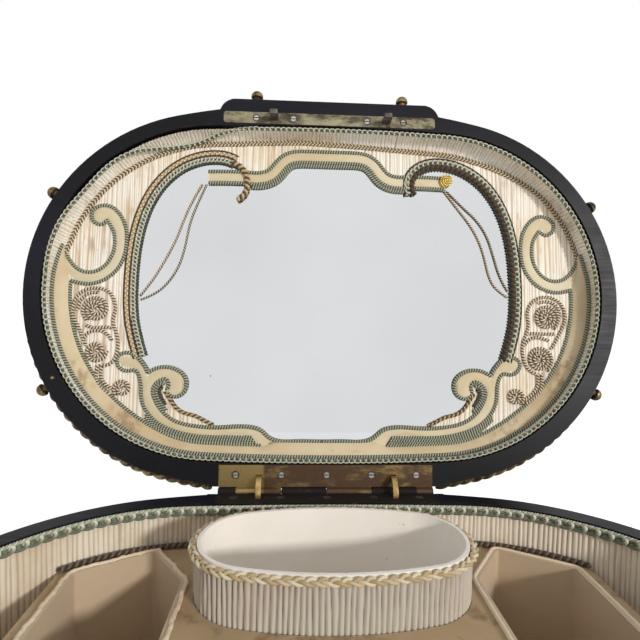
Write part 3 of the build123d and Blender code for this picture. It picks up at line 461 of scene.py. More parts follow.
def swept(name: str, points: Array, radius: float, sides: int = 8) -> Piece:
    """A plain closed ring of tube.

    Args:
        name: Name of the piece.
        points: Points of the frame that it follows back to its start.
        radius: Radius of the tube.
        sides: Sides of its section.

    Returns:
        The tube.
    """
    side = unit(np.cross(headings(points, closed=True), UPWARDS))
    up = np.cross(side, headings(points, closed=True))
    turn = np.linspace(0, TURN, sides, endpoint=False)[None, :, None]
    ring = points[:, None] + radius * (side[:, None] * np.cos(turn) + up[:, None] * np.sin(turn))
    count = len(points)
    last = (count - 1) * sides
    faces = lattice(count, sides, wrapped=True)
    faces += [(last + c, last + (c + 1) % sides, (c + 1) % sides, c) for c in range(sides)]
    return closed_outwards(mesh_object(name, ring.reshape(-1, 3), faces))


def joined(name: str, pieces: Sequence[Piece]) -> Piece:
    """Several pieces made into one.

    Args:
        name: Name of the whole.
        pieces: The pieces, the first of which takes in the others.

    Returns:
        The whole.
    """
    chosen, first = list(pieces), pieces[0]
    with bpy.context.temp_override(
        active_object=first, object=first, selected_objects=chosen, selected_editable_objects=chosen
    ):
        bpy.ops.object.join()
    first.name = first.data.name = name
    return first


def coated(made: Piece, finish: Finish) -> Piece:
    """Gives a new mesh its finish."""
    made.data.materials.append(finish)
    return made


def dress(frame: dict, finish: Finish, *nodes: str) -> None:
    """Gives nodes of the frame a finish.

    Args:
        frame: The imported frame.
        finish: The finish.
        nodes: Names of the nodes.
    """
    for name in nodes:
        node = frame["nodes"][name]
        if not node.material_slots:
            node.data.materials.append(finish)
        for slot in node.material_slots:
            slot.material = finish
        LOG.info("dressed %s in %s", name, finish.name)


def settle(piece: Piece, body: str, slot: str, *nodes: str) -> Piece:
    """Makes a piece ride on a body and stands it for nodes.

    Args:
        piece: The finished piece.
        body: Name of the body that carries it.
        slot: Name of its material slot in the record, which is not used.
        nodes: Names of the nodes that it replaces.

    Returns:
        The same piece.
    """
    if not piece.data.materials:
        raise ValueError(f"{piece.name} has no finish")
    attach(piece, body)
    if nodes:
        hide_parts(*nodes)
    LOG.info("made %s on %s", piece.name, body)
    return piece


# Node trees


class NodeTree:
    """A tree of nodes under construction."""

    def __init__(self, tree: Tree):
        """Keeps the tree."""
        self.tree = tree

    def feed(self, socket: Socket, value: Value) -> None:
        """Links a socket or gives it a value, where three numbers are a colour given as 0 to 255."""
        if isinstance(value, Socket):
            self.tree.links.new(value, socket)
        elif socket.type == "RGBA" and len(value) == 3:
            socket.default_value = (*shade(*value), 1.0)
        else:
            socket.default_value = value

    def node(self, kind: str, inputs: dict[str, Value] | None = None, **settings: Value) -> bpy.types.Node:
        """A new node.

        Args:
            kind: Its type.
            inputs: Values or sockets for its inputs, by name.
            settings: Values of its own settings.

        Returns:
            The node.
        """
        node = self.tree.nodes.new(kind)
        for name, value in settings.items():
            setattr(node, name, value)
        for name, value in (inputs or {}).items():
            self.feed(next(s for s in node.inputs if s.name == name and s.enabled), value)
        return node

    def made(self, kind: str, inputs: dict[str, Value] | None = None, **settings: Value) -> Socket:
        """The first output in use of a new node."""
        return next(s for s in self.node(kind, inputs, **settings).outputs if s.enabled)

    def maths(
        self, operation: str, first: Value, second: Value = 0.0, third: Value = 0.0, clamp: bool = False
    ) -> Socket:
        """The result of one sum on numbers."""
        node = self.node("ShaderNodeMath", operation=operation, use_clamp=clamp)
        for socket, value in zip(node.inputs, (first, second, third)):
            self.feed(socket, value)
        return node.outputs[0]

    def plus(self, first: Value, second: Value) -> Socket:
        """Two numbers added."""
        return self.maths("ADD", first, second)

    def times(self, first: Value, *others: Value) -> Socket:
        """Numbers multiplied, one after the other."""
        for other in others:
            first = self.maths("MULTIPLY", first, other)
        return first

    def vector(self, operation: str, first: Value, second: Value | None = None) -> Socket:
        """The result of one sum on vectors, where the second is a number if the first is scaled."""
        node = self.node("ShaderNodeVectorMath", operation=operation)
        self.feed(node.inputs[0], first)
        if second is not None:
            self.feed(node.inputs["Scale" if operation == "SCALE" else 1], second)
        return next(s for s in node.outputs if s.enabled)


class GrowthTree(NodeTree):
    """A Geometry Nodes tree that takes its sizes from named inputs."""

    def __init__(self, name: str):
        """Starts a tree with a geometry input, a finish input and an output."""
        super().__init__(bpy.data.node_groups.new(name, "GeometryNodeTree"))
        self.tree.is_modifier = True
        for label, in_out, kind in (
            ("Geometry", "OUTPUT", "Geometry"),
            ("Geometry", "INPUT", "Geometry"),
            ("Finish", "INPUT", "Material"),
        ):
            self.tree.interface.new_socket(label, in_out=in_out, socket_type=f"NodeSocket{kind}")
        self.entry = self.tree.nodes.new("NodeGroupInput")
        self.exit = self.tree.nodes.new("NodeGroupOutput")

    def sizes(self, *names: str) -> list[Socket]:
        """New named number inputs."""
        for name in names:
            self.tree.interface.new_socket(name, in_out="INPUT", socket_type="NodeSocketFloat")
        return [self.entry.outputs[name] for name in names]

    def kept(self, kind: str, name: str) -> Socket:
        """Values kept on the points under a name."""
        return self.made("GeometryNodeInputNamedAttribute", {"Name": name}, data_type=kind)

    def keep(self, geometry: Socket, name: str, value: Value) -> Socket:
        """Geometry with a number kept on its points."""
        inputs = {"Geometry": geometry, "Name": name, "Value": value}
        return self.made("GeometryNodeStoreNamedAttribute", inputs, data_type="FLOAT", domain="POINT")

    def drift(self, place: Value, scale: float, seed: Value) -> Socket:
        """Smooth randomness between 0 and 1 with a fixed seed."""
        inputs = {"Vector": place, "W": seed, "Scale": scale, "Detail": 1.0}
        return self.made("ShaderNodeTexNoise", inputs, noise_dimensions="4D")

    def about_nought(self, place: Value, scale: float, seed: Value) -> Socket:
        """Smooth randomness between minus a half and a half."""
        return self.maths("SUBTRACT", self.drift(place, scale, seed), 0.5)

    def finish(self, geometry: Socket) -> Tree:
        """Ends the tree with real geometry, smooth faces and the finish."""
        real = self.made("GeometryNodeRealizeInstances", {"Geometry": geometry})
        smooth = self.made("GeometryNodeSetShadeSmooth", {"Geometry": real})
        inputs = {"Geometry": smooth, "Material": self.entry.outputs["Finish"]}
        self.feed(self.exit.inputs[0], self.made("GeometryNodeSetMaterial", inputs))
        return self.tree


def grown(made: Piece, tree: Tree, finish: Finish, **sizes: float) -> Piece:
    """Runs a tree on an object and keeps its result as a plain mesh.

    Args:
        made: The object that holds the lines or the sheet.
        tree: The tree to run.
        finish: Material of the result.
        sizes: Values of the tree's number inputs, with underscores for spaces.

    Returns:
        The same object with the grown mesh.
    """
    modifier = made.modifiers.new(tree.name, "NODES")
    modifier.node_group = tree
    for item in tree.interface.items_tree:
        if item.in_out != "INPUT":
            continue
        key = item.name.lower().replace(" ", "_")
        if key == "finish":
            modifier[item.identifier] = finish
        elif key in sizes:
            modifier[item.identifier] = float(sizes[key])
    layers = bpy.context.evaluated_depsgraph_get()
    grown_object = made.evaluated_get(layers)
    mesh = bpy.data.meshes.new_from_object(grown_object, preserve_all_data_layers=True, depsgraph=layers)
    made.modifiers.remove(modifier)
    made.data = mesh
    mesh.name = made.name
    if not mesh.materials:
        mesh.materials.append(finish)
    return made


class Lay(Enum):
    """How the strands of a cord go round each other."""

    TWISTED = 1
    PLAITED = 2


class Tone(Enum):
    """What decides a strand's colour."""

    STRAND = "by strand"
    SIDE = "by its place across the cord"


@cache
def strand_tree(strands: int, lay: Lay, tone: Tone, sides: int) -> Tree:
    """A tree that lays strands round each other along every line of the object.

    Args:
        strands: Number of strands.
        lay: Twisted round each other, or plaited flat.
        tone: What the tone kept on the points follows.
        sides: Sides of a strand's section.

    Returns:
        The finished tree.
    """
    growth = GrowthTree(f"{lay.name.lower()}_{strands}_{tone.name.lower()}_{sides}")
    side_swing, height_swing, along_swing, radius = growth.sizes(
        "Side Swing", "Height Swing", "Along Swing", "Strand Radius"
    )
    lay_length, steps, unevenness, seed = growth.sizes("Lay Length", "Steps", "Unevenness", "Seed")
    line = growth.made("GeometryNodeMeshToCurve", {"Mesh": growth.entry.outputs["Geometry"]})
    step = growth.maths("DIVIDE", lay_length, steps)
    even = growth.made("GeometryNodeResampleCurve", {"Curve": line, "Length": step}, mode="LENGTH")
    run = growth.node("GeometryNodeSplineParameter").outputs["Length"]
    ahead = growth.made("GeometryNodeInputTangent")
    place = growth.made("GeometryNodeInputPosition")
    back = growth.kept("FLOAT_VECTOR", "up")
    side = growth.vector("NORMALIZE", growth.vector("CROSS_PRODUCT", ahead, back))
    up = growth.vector("NORMALIZE", growth.vector("CROSS_PRODUCT", side, ahead))
    swing = growth.maths("MULTIPLY_ADD", growth.about_nought(place, 260.0, seed), unevenness, 1.0)
    slip = growth.times(growth.about_nought(place, 70.0, seed), unevenness)
    turn = growth.plus(growth.times(growth.maths("DIVIDE", run, lay_length), TURN), slip)
    inputs = {"Resolution": sides, "Radius": radius}
    section = growth.made("GeometryNodeCurvePrimitiveCircle", inputs, mode="RADIUS")
    gathered = growth.node("GeometryNodeJoinGeometry")
    for number in range(strands):
        angle = growth.plus(turn, TURN * number / strands)
        aside = growth.maths("COSINE", angle)
        height = growth.maths("SINE", growth.times(angle, float(lay.value)))
        by_side = growth.maths("MULTIPLY_ADD", aside, 0.5, 0.5)
        colour = by_side if tone is Tone.SIDE else number / max(1, strands - 1)
        wide = growth.vector("SCALE", side, growth.times(aside, side_swing, swing))
        high = growth.vector("SCALE", up, growth.times(height, height_swing, swing))
        onward = growth.vector("SCALE", ahead, growth.times(growth.maths("SINE", angle), along_swing))
        offset = growth.vector("ADD", growth.vector("ADD", wide, high), onward)
        inputs = {"Geometry": growth.keep(even, "tone", colour), "Offset": offset}
        moved = growth.made("GeometryNodeSetPosition", inputs)
        inputs = {"Curve": moved, "Profile Curve": section, "Fill Caps": True}
        growth.feed(gathered.inputs[0], growth.made("GeometryNodeCurveToMesh", inputs))
    return growth.finish(gathered.outputs[0])


@cache
def pleat_tree() -> Tree:
    """A tree that gathers a sheet into fine uneven pleats along its run."""
    growth = GrowthTree("gathered_silk")
    pitch, depth, swell, roundness, unevenness, wander, seed = growth.sizes(
        "Pitch", "Depth", "Swell", "Roundness", "Unevenness", "Wander", "Seed"
    )
    run, rise = (growth.kept("FLOAT", name) for name in ("run", "rise"))
    out = growth.kept("FLOAT_VECTOR", "out")
    place = growth.made("ShaderNodeCombineXYZ", {"X": run, "Y": growth.times(rise, 0.004)})
    spread = growth.about_nought(place, 90.0, seed)
    lean = growth.about_nought(place, 320.0, seed)
    number = growth.maths("MULTIPLY_ADD", spread, unevenness, growth.maths("DIVIDE", run, pitch))
    number = growth.maths("MULTIPLY_ADD", growth.times(lean, wander), rise, number)
    wave = growth.maths("ABSOLUTE", growth.maths("SINE", growth.times(number, math.pi)))
    crest = growth.maths("POWER", wave, roundness)
    fullness = growth.maths("MULTIPLY_ADD", growth.drift(place, 500.0, seed), 1.1, 0.45)
    fold = growth.times(crest, fullness)
    broad = growth.times(growth.drift(place, 210.0, growth.plus(seed, 9.0)), swell)
    offset = growth.vector("SCALE", out, growth.plus(growth.times(fold, depth), broad))
    kept = growth.keep(growth.entry.outputs["Geometry"], "fold", fold)
    return growth.finish(growth.made("GeometryNodeSetPosition", {"Geometry": kept, "Offset": offset}))


@dataclass(frozen=True)
class Gathers:
    """How a sheet of silk is gathered, in millimetres.

    Attributes:
        pitch: Distance between pleats.
        depth: Depth of a pleat.
        unevenness: How unevenly the pleats are spaced.
        wander: How far a pleat leans on its way.
        seed: Seed of its randomness.
        swell: Depth of the broad swells under the pleats.
        roundness: Power of the pleat's wave, less than 1 for broad crests.
    """

    pitch: float
    depth: float
    unevenness: float
    wander: float
    seed: float
    swell: float = 0.0
    roundness: float = 0.75

    def made(self, sheet: Piece, finish: Finish) -> Piece:
        """Gathers a sheet that keeps its run, rise and outward direction on its points."""
        sizes = {"pitch": self.pitch * MM, "depth": self.depth * MM, "swell": self.swell * MM}
        others = {"unevenness": self.unevenness, "wander": self.wander, "roundness": self.roundness}
        return grown(sheet, pleat_tree(), finish, **sizes, **others, seed=self.seed)


@dataclass
class Route:
    """A line that a cord follows.

    Attributes:
        points: Points of the frame, in millimetres.
        up: The way that the cord's back looks away from what it lies on.
        closed: Whether it runs back to its start.
    """

    points: Array
    up: Array
    closed: bool = False


def on_lid(plan: Array, height: float) -> Route:
    """A route on the lid, whose cord looks at the viewer."""
    return Route(LID_PLACE.points(lifted(plan, height)), TO_VIEWER)


@dataclass(frozen=True)
class Cord:
    """Make of a cord, gimp or braid, in millimetres.

    Attributes:
        strands: Number of strands.
        lay_length: Length of one whole turn or plait.
        side_swing: How far a strand goes to each side.
        height_swing: How far a strand rises and falls.
        radius: Radius of a strand.
        lay: Twisted or plaited.
        tone: What decides a strand's colour.
        along_swing: How far a strand runs to and fro along the cord, which makes it loop.
        steps: Points for each lay length.
        sides: Sides of a strand's section.
        unevenness: How irregular it is, from 0.
    """

    strands: int
    lay_length: float
    side_swing: float
    height_swing: float
    radius: float
    lay: Lay = Lay.TWISTED
    tone: Tone = Tone.STRAND
    along_swing: float = 0.0
    steps: float = 8.0
    sides: int = 6
    unevenness: float = 0.15

    def other_hand(self) -> Cord:
        """The same cord laid the other way round."""
        return replace(self, lay_length=-self.lay_length, steps=-self.steps)

    def laid(self, name: str, routes: Sequence[Route], finish: Finish, seed: float) -> Piece:
        """The cord laid along every route, as one piece.

        Args:
            name: Name of the piece.
            routes: The lines that it follows.
            finish: Its finish.
            seed: Seed of its unevenness.

        Returns:
            The cord as a plain mesh.
        """
        points, ups, edges, first = [], [], [], 0
        for route in routes:
            count = len(route.points)
            points.append(route.points)
            ups.append(np.broadcast_to(route.up, route.points.shape))
            edges += [(first + i, first + i + 1) for i in range(count - 1)]
            if route.closed:
                edges.append((first + count - 1, first))
            first += count
        made = mesh_object(name, np.vstack(points), (), edges, up=np.vstack(ups))
        tree = strand_tree(self.strands, self.lay, self.tone, self.sides)
        lengths = {"strand_radius": self.radius * MM}
        for key in ("side_swing", "height_swing", "along_swing", "lay_length"):
            lengths[key] = getattr(self, key) * MM
        return grown(made, tree, finish, steps=self.steps, unevenness=self.unevenness, seed=seed, **lengths)


# Finishes


class SurfaceTree(NodeTree):
    """The nodes of one material."""

    def __init__(self, name: str):
        """Starts a material with its coordinates, shader and output."""
        self.material = bpy.data.materials.new(name)
        self.material.use_nodes = True
        super().__init__(self.material.node_tree)
        self.tree.nodes.clear()
        self.shader = self.node("ShaderNodeBsdfPrincipled")
        self.output = self.node("ShaderNodeOutputMaterial")
        self.feed(self.output.inputs[0], self.shader.outputs[0])
        self.coordinates = self.node("ShaderNodeTexCoord").outputs

    def place(self, scale: tuple = (1, 1, 1), shift: tuple = (0, 0, 0), on_cloth: bool = False) -> Socket:
        """Object or cloth coordinates, stretched and moved."""
        source = self.coordinates["UV" if on_cloth else "Object"]
        return self.made("ShaderNodeMapping", {"Vector": source, "Scale": scale, "Location": shift})

    def noise(
        self, scale: float, detail: float = 3.0, roughness: float = 0.55, place: Socket | None = None,
        distortion: float = 0.0,
    ) -> Socket:
        """Noise between 0 and 1."""
        inputs = {"Vector": place or self.coordinates["Object"], "Scale": scale, "Detail": detail}
        return self.made("ShaderNodeTexNoise", {**inputs, "Roughness": roughness, "Distortion": distortion})

    def weave(self, threads: float, place: Socket, direction: str) -> Socket:
        """Threads side by side along one direction, as many for each millimetre as is given."""
        inputs = {"Vector": place, "Scale": threads * 1000 / TURN * 2, "Distortion": 0.4}
        return self.node("ShaderNodeTexWave", inputs, bands_direction=direction).outputs["Fac"]

    def kept(self, name: str) -> Socket:
        """A number kept on the points."""
        return self.node("ShaderNodeAttribute", attribute_name=name).outputs["Fac"]

    def ranged(
        self, value: Value, low: float, high: float, to_low: float = 0.0, to_high: float = 1.0
    ) -> Socket:
        """A number moved smoothly from one range to another and held there."""
        node = self.node("ShaderNodeMapRange", interpolation_type="SMOOTHSTEP")
        for socket, entry in zip(node.inputs, (value, low, high, to_low, to_high)):
            self.feed(socket, entry)
        return node.outputs[0]

    def mixed(self, share: Value, first: Value, second: Value) -> Socket:
        """Two colours mixed by a share."""
        node = self.node("ShaderNodeMix", data_type="RGBA", blend_type="MIX")
        for number, value in ((0, share), (6, first), (7, second)):
            self.feed(node.inputs[number], value)
        return node.outputs[2]

    def away_from(self, centre: Point) -> Socket:
        """Distance in metres from a place of the frame in millimetres."""
        return self.vector("DISTANCE", self.coordinates["Object"], tuple(v * MM for v in centre))

    def near(self, centre: Point, radius: float, rough: float = 0.0) -> Socket:
        """1 at a place in the frame, given in millimetres, falling to 0 at a radius."""
        away = self.away_from(centre)
        if rough:
            away = self.plus(away, self.times(self.noise(min(600.0, 1200.0 / rough)), rough * MM))
        return self.ranged(away, radius * MM, radius * MM * 0.5)

    def bump(self, height: Value, depth: float, strength: float) -> None:
        """Raises the surface by a height times a depth in millimetres."""
        node = self.node("ShaderNodeBump", {"Strength": strength, "Distance": depth * MM, "Height": height})
        earlier = self.shader.inputs["Normal"]
        if earlier.is_linked:
            self.feed(node.inputs["Normal"], earlier.links[0].from_socket)
        self.feed(earlier, node.outputs[0])

    def finish(self, colour: Value, roughness: Value, **sockets: float) -> Finish:
        """Sets the shader's colour, roughness and plain values.

        Args:
            colour: Its base colour.
            roughness: Its roughness.
            sockets: Values of its other inputs, with underscores for spaces.

        Returns:
            The material.
        """
        short = {"ior": "IOR", "specular": "Specular IOR Level"}
        for name, value in {"base_color": colour, "roughness": roughness, **sockets}.items():
            self.feed(self.shader.inputs[short.get(name, name.replace("_", " ").title())], value)
        return self.material


@dataclass(frozen=True)
class EbonisedWood:
    """Black-stained polished wood with rubbed edges, fine scratches, and dusty bluish clouds that also paint
    its bluish sheen.
    """

    name: str
    body: Colour = (17, 17, 21)
    dust_and_sheen: Colour = (33, 35, 48)
    rubbed: Colour = (92, 46, 30)
    bare: Colour = (176, 136, 88)
    pore: Colour = (14, 13, 15)
    wear: float = 0.8

    def material(self, *bare_at: Spot) -> Finish:
        """The finish, with places where the stain is gone.

        Args:
            bare_at: Places in the frame and their radii.

        Returns:
            The material.
        """
        nodes = SurfaceTree(self.name)
        grain = nodes.noise(60.0, 5.0, place=nodes.place((0.35, 3.0, 3.0)), distortion=0.6)
        cloud = nodes.noise(14.0, 4.0)
        fine = nodes.noise(420.0, 4.0, 0.65)
        # Clouds and fine flecks of a dusty bluish grey, which also paint the wood's bluish sheen.
        colour = nodes.mixed(nodes.ranged(cloud, 0.42, 0.75, 0.0, 0.6), self.body, self.dust_and_sheen)
        colour = nodes.mixed(nodes.ranged(grain, 0.35, 0.7, 0.0, 0.35), colour, self.pore)
        colour = nodes.mixed(nodes.ranged(fine, 0.6, 0.8, 0.0, 0.4), colour, self.dust_and_sheen)
        bevel = nodes.made("ShaderNodeBevel", {"Radius": self.wear * MM}, samples=4)
        flat = nodes.node("ShaderNodeNewGeometry").outputs["Normal"]
        edge = nodes.ranged(nodes.vector("DOT_PRODUCT", bevel, flat), 0.97, 0.72)
        worn = nodes.maths("MULTIPLY", edge, nodes.ranged(nodes.noise(180.0, 4.0), 0.45, 0.7), clamp=True)
        colour = nodes.mixed(worn, colour, self.rubbed)
        for x, y, z, radius in bare_at:
            colour = nodes.mixed(nodes.near((x, y, z), radius, 2.0), colour, self.bare)
        scratch = nodes.noise(900.0, 2.0, place=nodes.place((0.06, 1.0, 1.0)))
        nodes.bump(grain, 0.05, 0.35)
        rough = nodes.ranged(nodes.plus(cloud, nodes.times(scratch, 0.3)), 0.4, 1.0, 0.34, 0.6)
        return nodes.finish(colour, rough, specular=0.16)


@dataclass(frozen=True)
class AgedMetal:
    """Brass, gilt or steel with patina, streaks and pits.

    Attributes:
        name: Name of the finish.
        bright: Colour where it is clean.
        patina: Colour where it has darkened.
        share: How much is patina, from 0 to 1.
        streak: Stretch of the patina along X.
        roughness: Roughness where it is clean.
        clean_below: The patina lies only above this X, if given.
        heads: Centres of screw heads in the frame, round which and in whose slots shade is painted.
            pit, rim, slot: Colour of the grime in pits, and of the painted shade in the countersink round
                each head and in its slot.
    """

    name: str
    bright: Colour
    patina: Colour
    share: float
    streak: float
    roughness: float
    clean_below: float | None = None
    heads: tuple[Point, ...] = ()
    pit: Colour = (40, 30, 22)
    rim: Colour = (30, 24, 20)
    slot: Colour = (22, 18, 15)

    def material(self) -> Finish:
        """The finish."""
        nodes = SurfaceTree(self.name)
        stretched = nodes.place((1.0 / self.streak, 1.0, 1.0))
        cloud = nodes.noise(130.0, 6.0, 0.65, stretched, 0.4)
        fine = nodes.noise(900.0, 3.0, 0.6, stretched)
        low = 0.85 - 0.75 * self.share
        dark = nodes.ranged(nodes.plus(cloud, nodes.times(fine, 0.25)), low, low + 0.35)
        if self.clean_below is not None:
            x = nodes.made("ShaderNodeSeparateXYZ", {"Vector": nodes.coordinates["Object"]})
            inside = nodes.ranged(x, (self.clean_below - 1.2) * MM, (self.clean_below + 1.2) * MM)
            dark = nodes.times(dark, nodes.plus(nodes.times(inside, 0.8), 0.2))
        colour = nodes.mixed(dark, self.bright, self.patina)
        pits = nodes.ranged(nodes.noise(1500.0, 2.0), 0.6, 0.72)
        colour = nodes.mixed(nodes.times(pits, 0.7), colour, self.pit)
        # Painted shade: a dark ring in the countersink round each head, and darkness in the slots from
        # ambient occlusion.
        if self.heads:
            nearest = 1.0
            for centre in self.heads:
                nearest = nodes.maths("MINIMUM", nearest, nodes.away_from(centre))
            countersink_shade_mask = nodes.ranged(nearest, 1.15 * MM, 1.75 * MM)
            colour = nodes.mixed(nodes.times(countersink_shade_mask, 0.85), colour, self.rim)
            hollow = nodes.node("ShaderNodeAmbientOcclusion", {"Distance": 1.2 * MM}, samples=8)
            colour = nodes.mixed(nodes.ranged(hollow.outputs["AO"], 0.88, 0.7), colour, self.slot)
        nodes.bump(fine, 0.04, 0.4)
        nodes.bump(cloud, 0.1, 0.25)
        rough = nodes.ranged(dark, 0.0, 1.0, self.roughness, min(0.8, self.roughness + 0.28))
        return nodes.finish(colour, rough, metallic=0.85)


@dataclass(frozen=True)
class Silk:
    """Old silk, plain or gathered: pale crests, painted shade and grime in the valleys, brown stains, and
    streaks of staining and painted crease shade.

    Attributes:
        name: Name of the finish.
        crest: Colour of the raised silk.
        valley_shade_and_grime: Colour down between pleats: painted shade, and grime.
        warm: Colour where it has yellowed.
        stains: How much is stained, from 0 to 1.
        stain_and_shade: Colour of the stains, and of the painted shade in the soil spots and streaks.
        streaks: How strongly it is streaked up and down, from 0 to 1.
        soils_and_shade: Places in the frame and radii of browned silk; on the band and on the right of the
            lid's wall they paint shade as well as soiling.
        folded: Whether the sheet keeps how far each point is up its pleat.
        weave: Threads for each millimetre.
        on_cloth: Whether the weave follows the piece's own cloth coordinates.
    """

    name: str
    crest: Colour
    valley_shade_and_grime: Colour
    warm: Colour = (226, 202, 170)
    stains: float = 0.35
    stain_and_shade: Colour = (158, 116, 76)
    streaks: float = 0.0
    soils_and_shade: tuple[Spot, ...] = ()
    folded: bool = True
    weave: float = 3.2
    on_cloth: bool = False

    def material(self) -> Finish:
        """The finish."""
        nodes = SurfaceTree(self.name)
        cloud = nodes.noise(22.0, 4.0)
        blot = nodes.noise(75.0, 5.0, 0.6)
        colour = nodes.mixed(nodes.ranged(cloud, 0.38, 0.66), self.crest, self.warm)
        stained = nodes.ranged(blot, 0.78 - 0.3 * self.stains, 0.98 - 0.3 * self.stains, 0.0, 0.75)
        colour = nodes.mixed(stained, colour, self.stain_and_shade)
        # Streaks up and down: staining, and painted shade of soft creases.
        if self.streaks:
            streak = nodes.noise(300.0, 3.0, 0.6, nodes.place((1.0, 1.0, 0.09)))
            colour = nodes.mixed(nodes.ranged(streak, 0.56, 0.74, 0.0, self.streaks), colour, self.stain_and_shade)
            pale = nodes.noise(260.0, 2.0, 0.5, nodes.place((1.0, 1.0, 0.07), (0.3, 0.0, 0.0)))
            colour = nodes.mixed(nodes.ranged(pale, 0.52, 0.66, 0.0, 0.7), colour, self.crest)
        # Brown patches at given places, broken up by noise: soiling, and on the band and the lid's right wall
        # painted shade as well.
        if self.soils_and_shade:
            drawn_out = nodes.place((1.0, 1.0, 0.14 if self.folded else 0.8), (0.7, 0.1, 0.0))
            patchy = nodes.ranged(nodes.noise(170.0, 4.0, 0.62, drawn_out), 0.4, 0.66, 0.0, 0.7)
        for x, y, z, radius in self.soils_and_shade:
            soiled_and_shaded = nodes.times(nodes.near((x, y, z), radius, radius * 0.8), patchy)
            colour = nodes.mixed(soiled_and_shaded, colour, self.stain_and_shade)
        # Painted shade and grime down in the pleat valleys, from how far each point is up its pleat.
        if self.folded:
            low = nodes.ranged(nodes.kept("fold"), 0.7, 0.05)
            colour = nodes.mixed(nodes.times(low, 0.85), colour, self.valley_shade_and_grime)
        place = nodes.place(on_cloth=self.on_cloth)
        warp, weft = (nodes.weave(self.weave, place, way) for way in ("X", "Y" if self.on_cloth else "Z"))
        nodes.bump(nodes.plus(warp, weft), 0.03, 0.25)
        nodes.bump(nodes.noise(260.0, 4.0), 0.25, 0.35)
        speck = nodes.ranged(nodes.noise(420.0, 2.0), 0.72, 0.78, 0.0, 0.45)
        colour = nodes.mixed(speck, colour, self.stain_and_shade)
        rough = nodes.ranged(cloud, 0.3, 0.7, 0.5, 0.66)
        return nodes.finish(colour, rough, specular=0.35, sheen_weight=0.25, sheen_roughness=0.4)


@dataclass(frozen=True)
class Yarn:
    """Two-coloured silk or metal cord.

    Attributes:
        name: Name of the finish.
        first: Colour of the first strand, or of one side.
        second: Colour of the last strand, or of the other side.
        soil: Colour of soiling and fading.
        soiling: How much is soiled, from 0 to 1.
        sharp: Half of the width over which the two colours meet.
        sheen: Weight of its sheen.
    """

    name: str
    first: Colour
    second: Colour
    soil: Colour
    soiling: float = 0.3
    sharp: float = 0.25
    sheen: float = 0.3

    def material(self) -> Finish:
        """The finish."""
        nodes = SurfaceTree(self.name)
        tone = nodes.ranged(nodes.kept("tone"), 0.5 - self.sharp, 0.5 + self.sharp)
        colour = nodes.mixed(tone, self.first, self.second)
        low, high = 0.7 - 0.3 * self.soiling, 0.95 - 0.2 * self.soiling
        colour = nodes.mixed(nodes.ranged(nodes.noise(45.0, 4.0), low, high, 0.0, 0.65), colour, self.soil)
        fibre = nodes.noise(2600.0, 2.0, 0.6)
        colour = nodes.mixed(nodes.ranged(fibre, 0.35, 0.75, 0.0, 0.3), colour, self.soil)
        nodes.bump(fibre, 0.05, 0.5)
        return nodes.finish(colour, 0.6, specular=0.3, sheen_weight=self.sheen, sheen_roughness=0.45)


@dataclass(frozen=True)
class Silvering:
    """The mirror: old silver behind clean glass, with a few specks."""

    name: str
    specks: tuple[Spot, ...]
    silver: Colour = (222, 223, 225)
    dull: Colour = (214, 215, 216)
    mist: Colour = (150, 148, 140)
    speck: Colour = (70, 72, 76)

    def material(self) -> Finish:
        """The finish."""
        nodes = SurfaceTree(self.name)
        cloud = nodes.noise(9.0, 2.0)
        colour = nodes.mixed(nodes.ranged(cloud, 0.3, 0.7), self.silver, self.dull)
        mist = nodes.ranged(nodes.noise(700.0, 2.0), 0.78, 0.84, 0.0, 0.25)
        colour = nodes.mixed(mist, colour, self.mist)
        for x, y, z, radius in self.specks:
            colour = nodes.mixed(nodes.near((x, y, z), radius, 0.3), colour, self.speck)
        return nodes.finish(colour, nodes.ranged(cloud, 0.3, 0.7, 0.015, 0.03), metallic=1.0)


@dataclass(frozen=True)
class Glaze:
    """The cup: white paper-lined ware with fine brown specks."""

    name: str
    white: Colour = (253, 248, 240)
    cream: Colour = (246, 238, 226)
    speck: Colour = (150, 122, 100)

    def material(self) -> Finish:
        """The finish."""
        nodes = SurfaceTree(self.name)
        cloud = nodes.noise(30.0, 3.0)
        colour = nodes.mixed(nodes.ranged(cloud, 0.35, 0.7, 0.0, 0.6), self.white, self.cream)
        colour = nodes.mixed(nodes.ranged(nodes.noise(330.0, 1.0), 0.765, 0.79, 0.0, 0.8), colour, self.speck)
        nodes.bump(nodes.noise(420.0, 3.0), 0.04, 0.3)
        return nodes.finish(colour, 0.42, specular=0.4)


def spots(place: Place, *drawn: Point) -> tuple[Spot, ...]:
    """Drawn points with radii as points of the frame with radii."""
    return tuple((*(float(v) for v in place.points(np.array(entry[:3]))), entry[3]) for entry in drawn)


WALL_SILK = Silk("wall_silk", (244, 234, 216), (188, 166, 138), (222, 206, 180), 0.4, streaks=0.25,
                 soils_and_shade=spots(BASE_PLACE, (-60, 22, 62, 34), (72, 22, 60, 20), (-128, 70, 62, 16)))
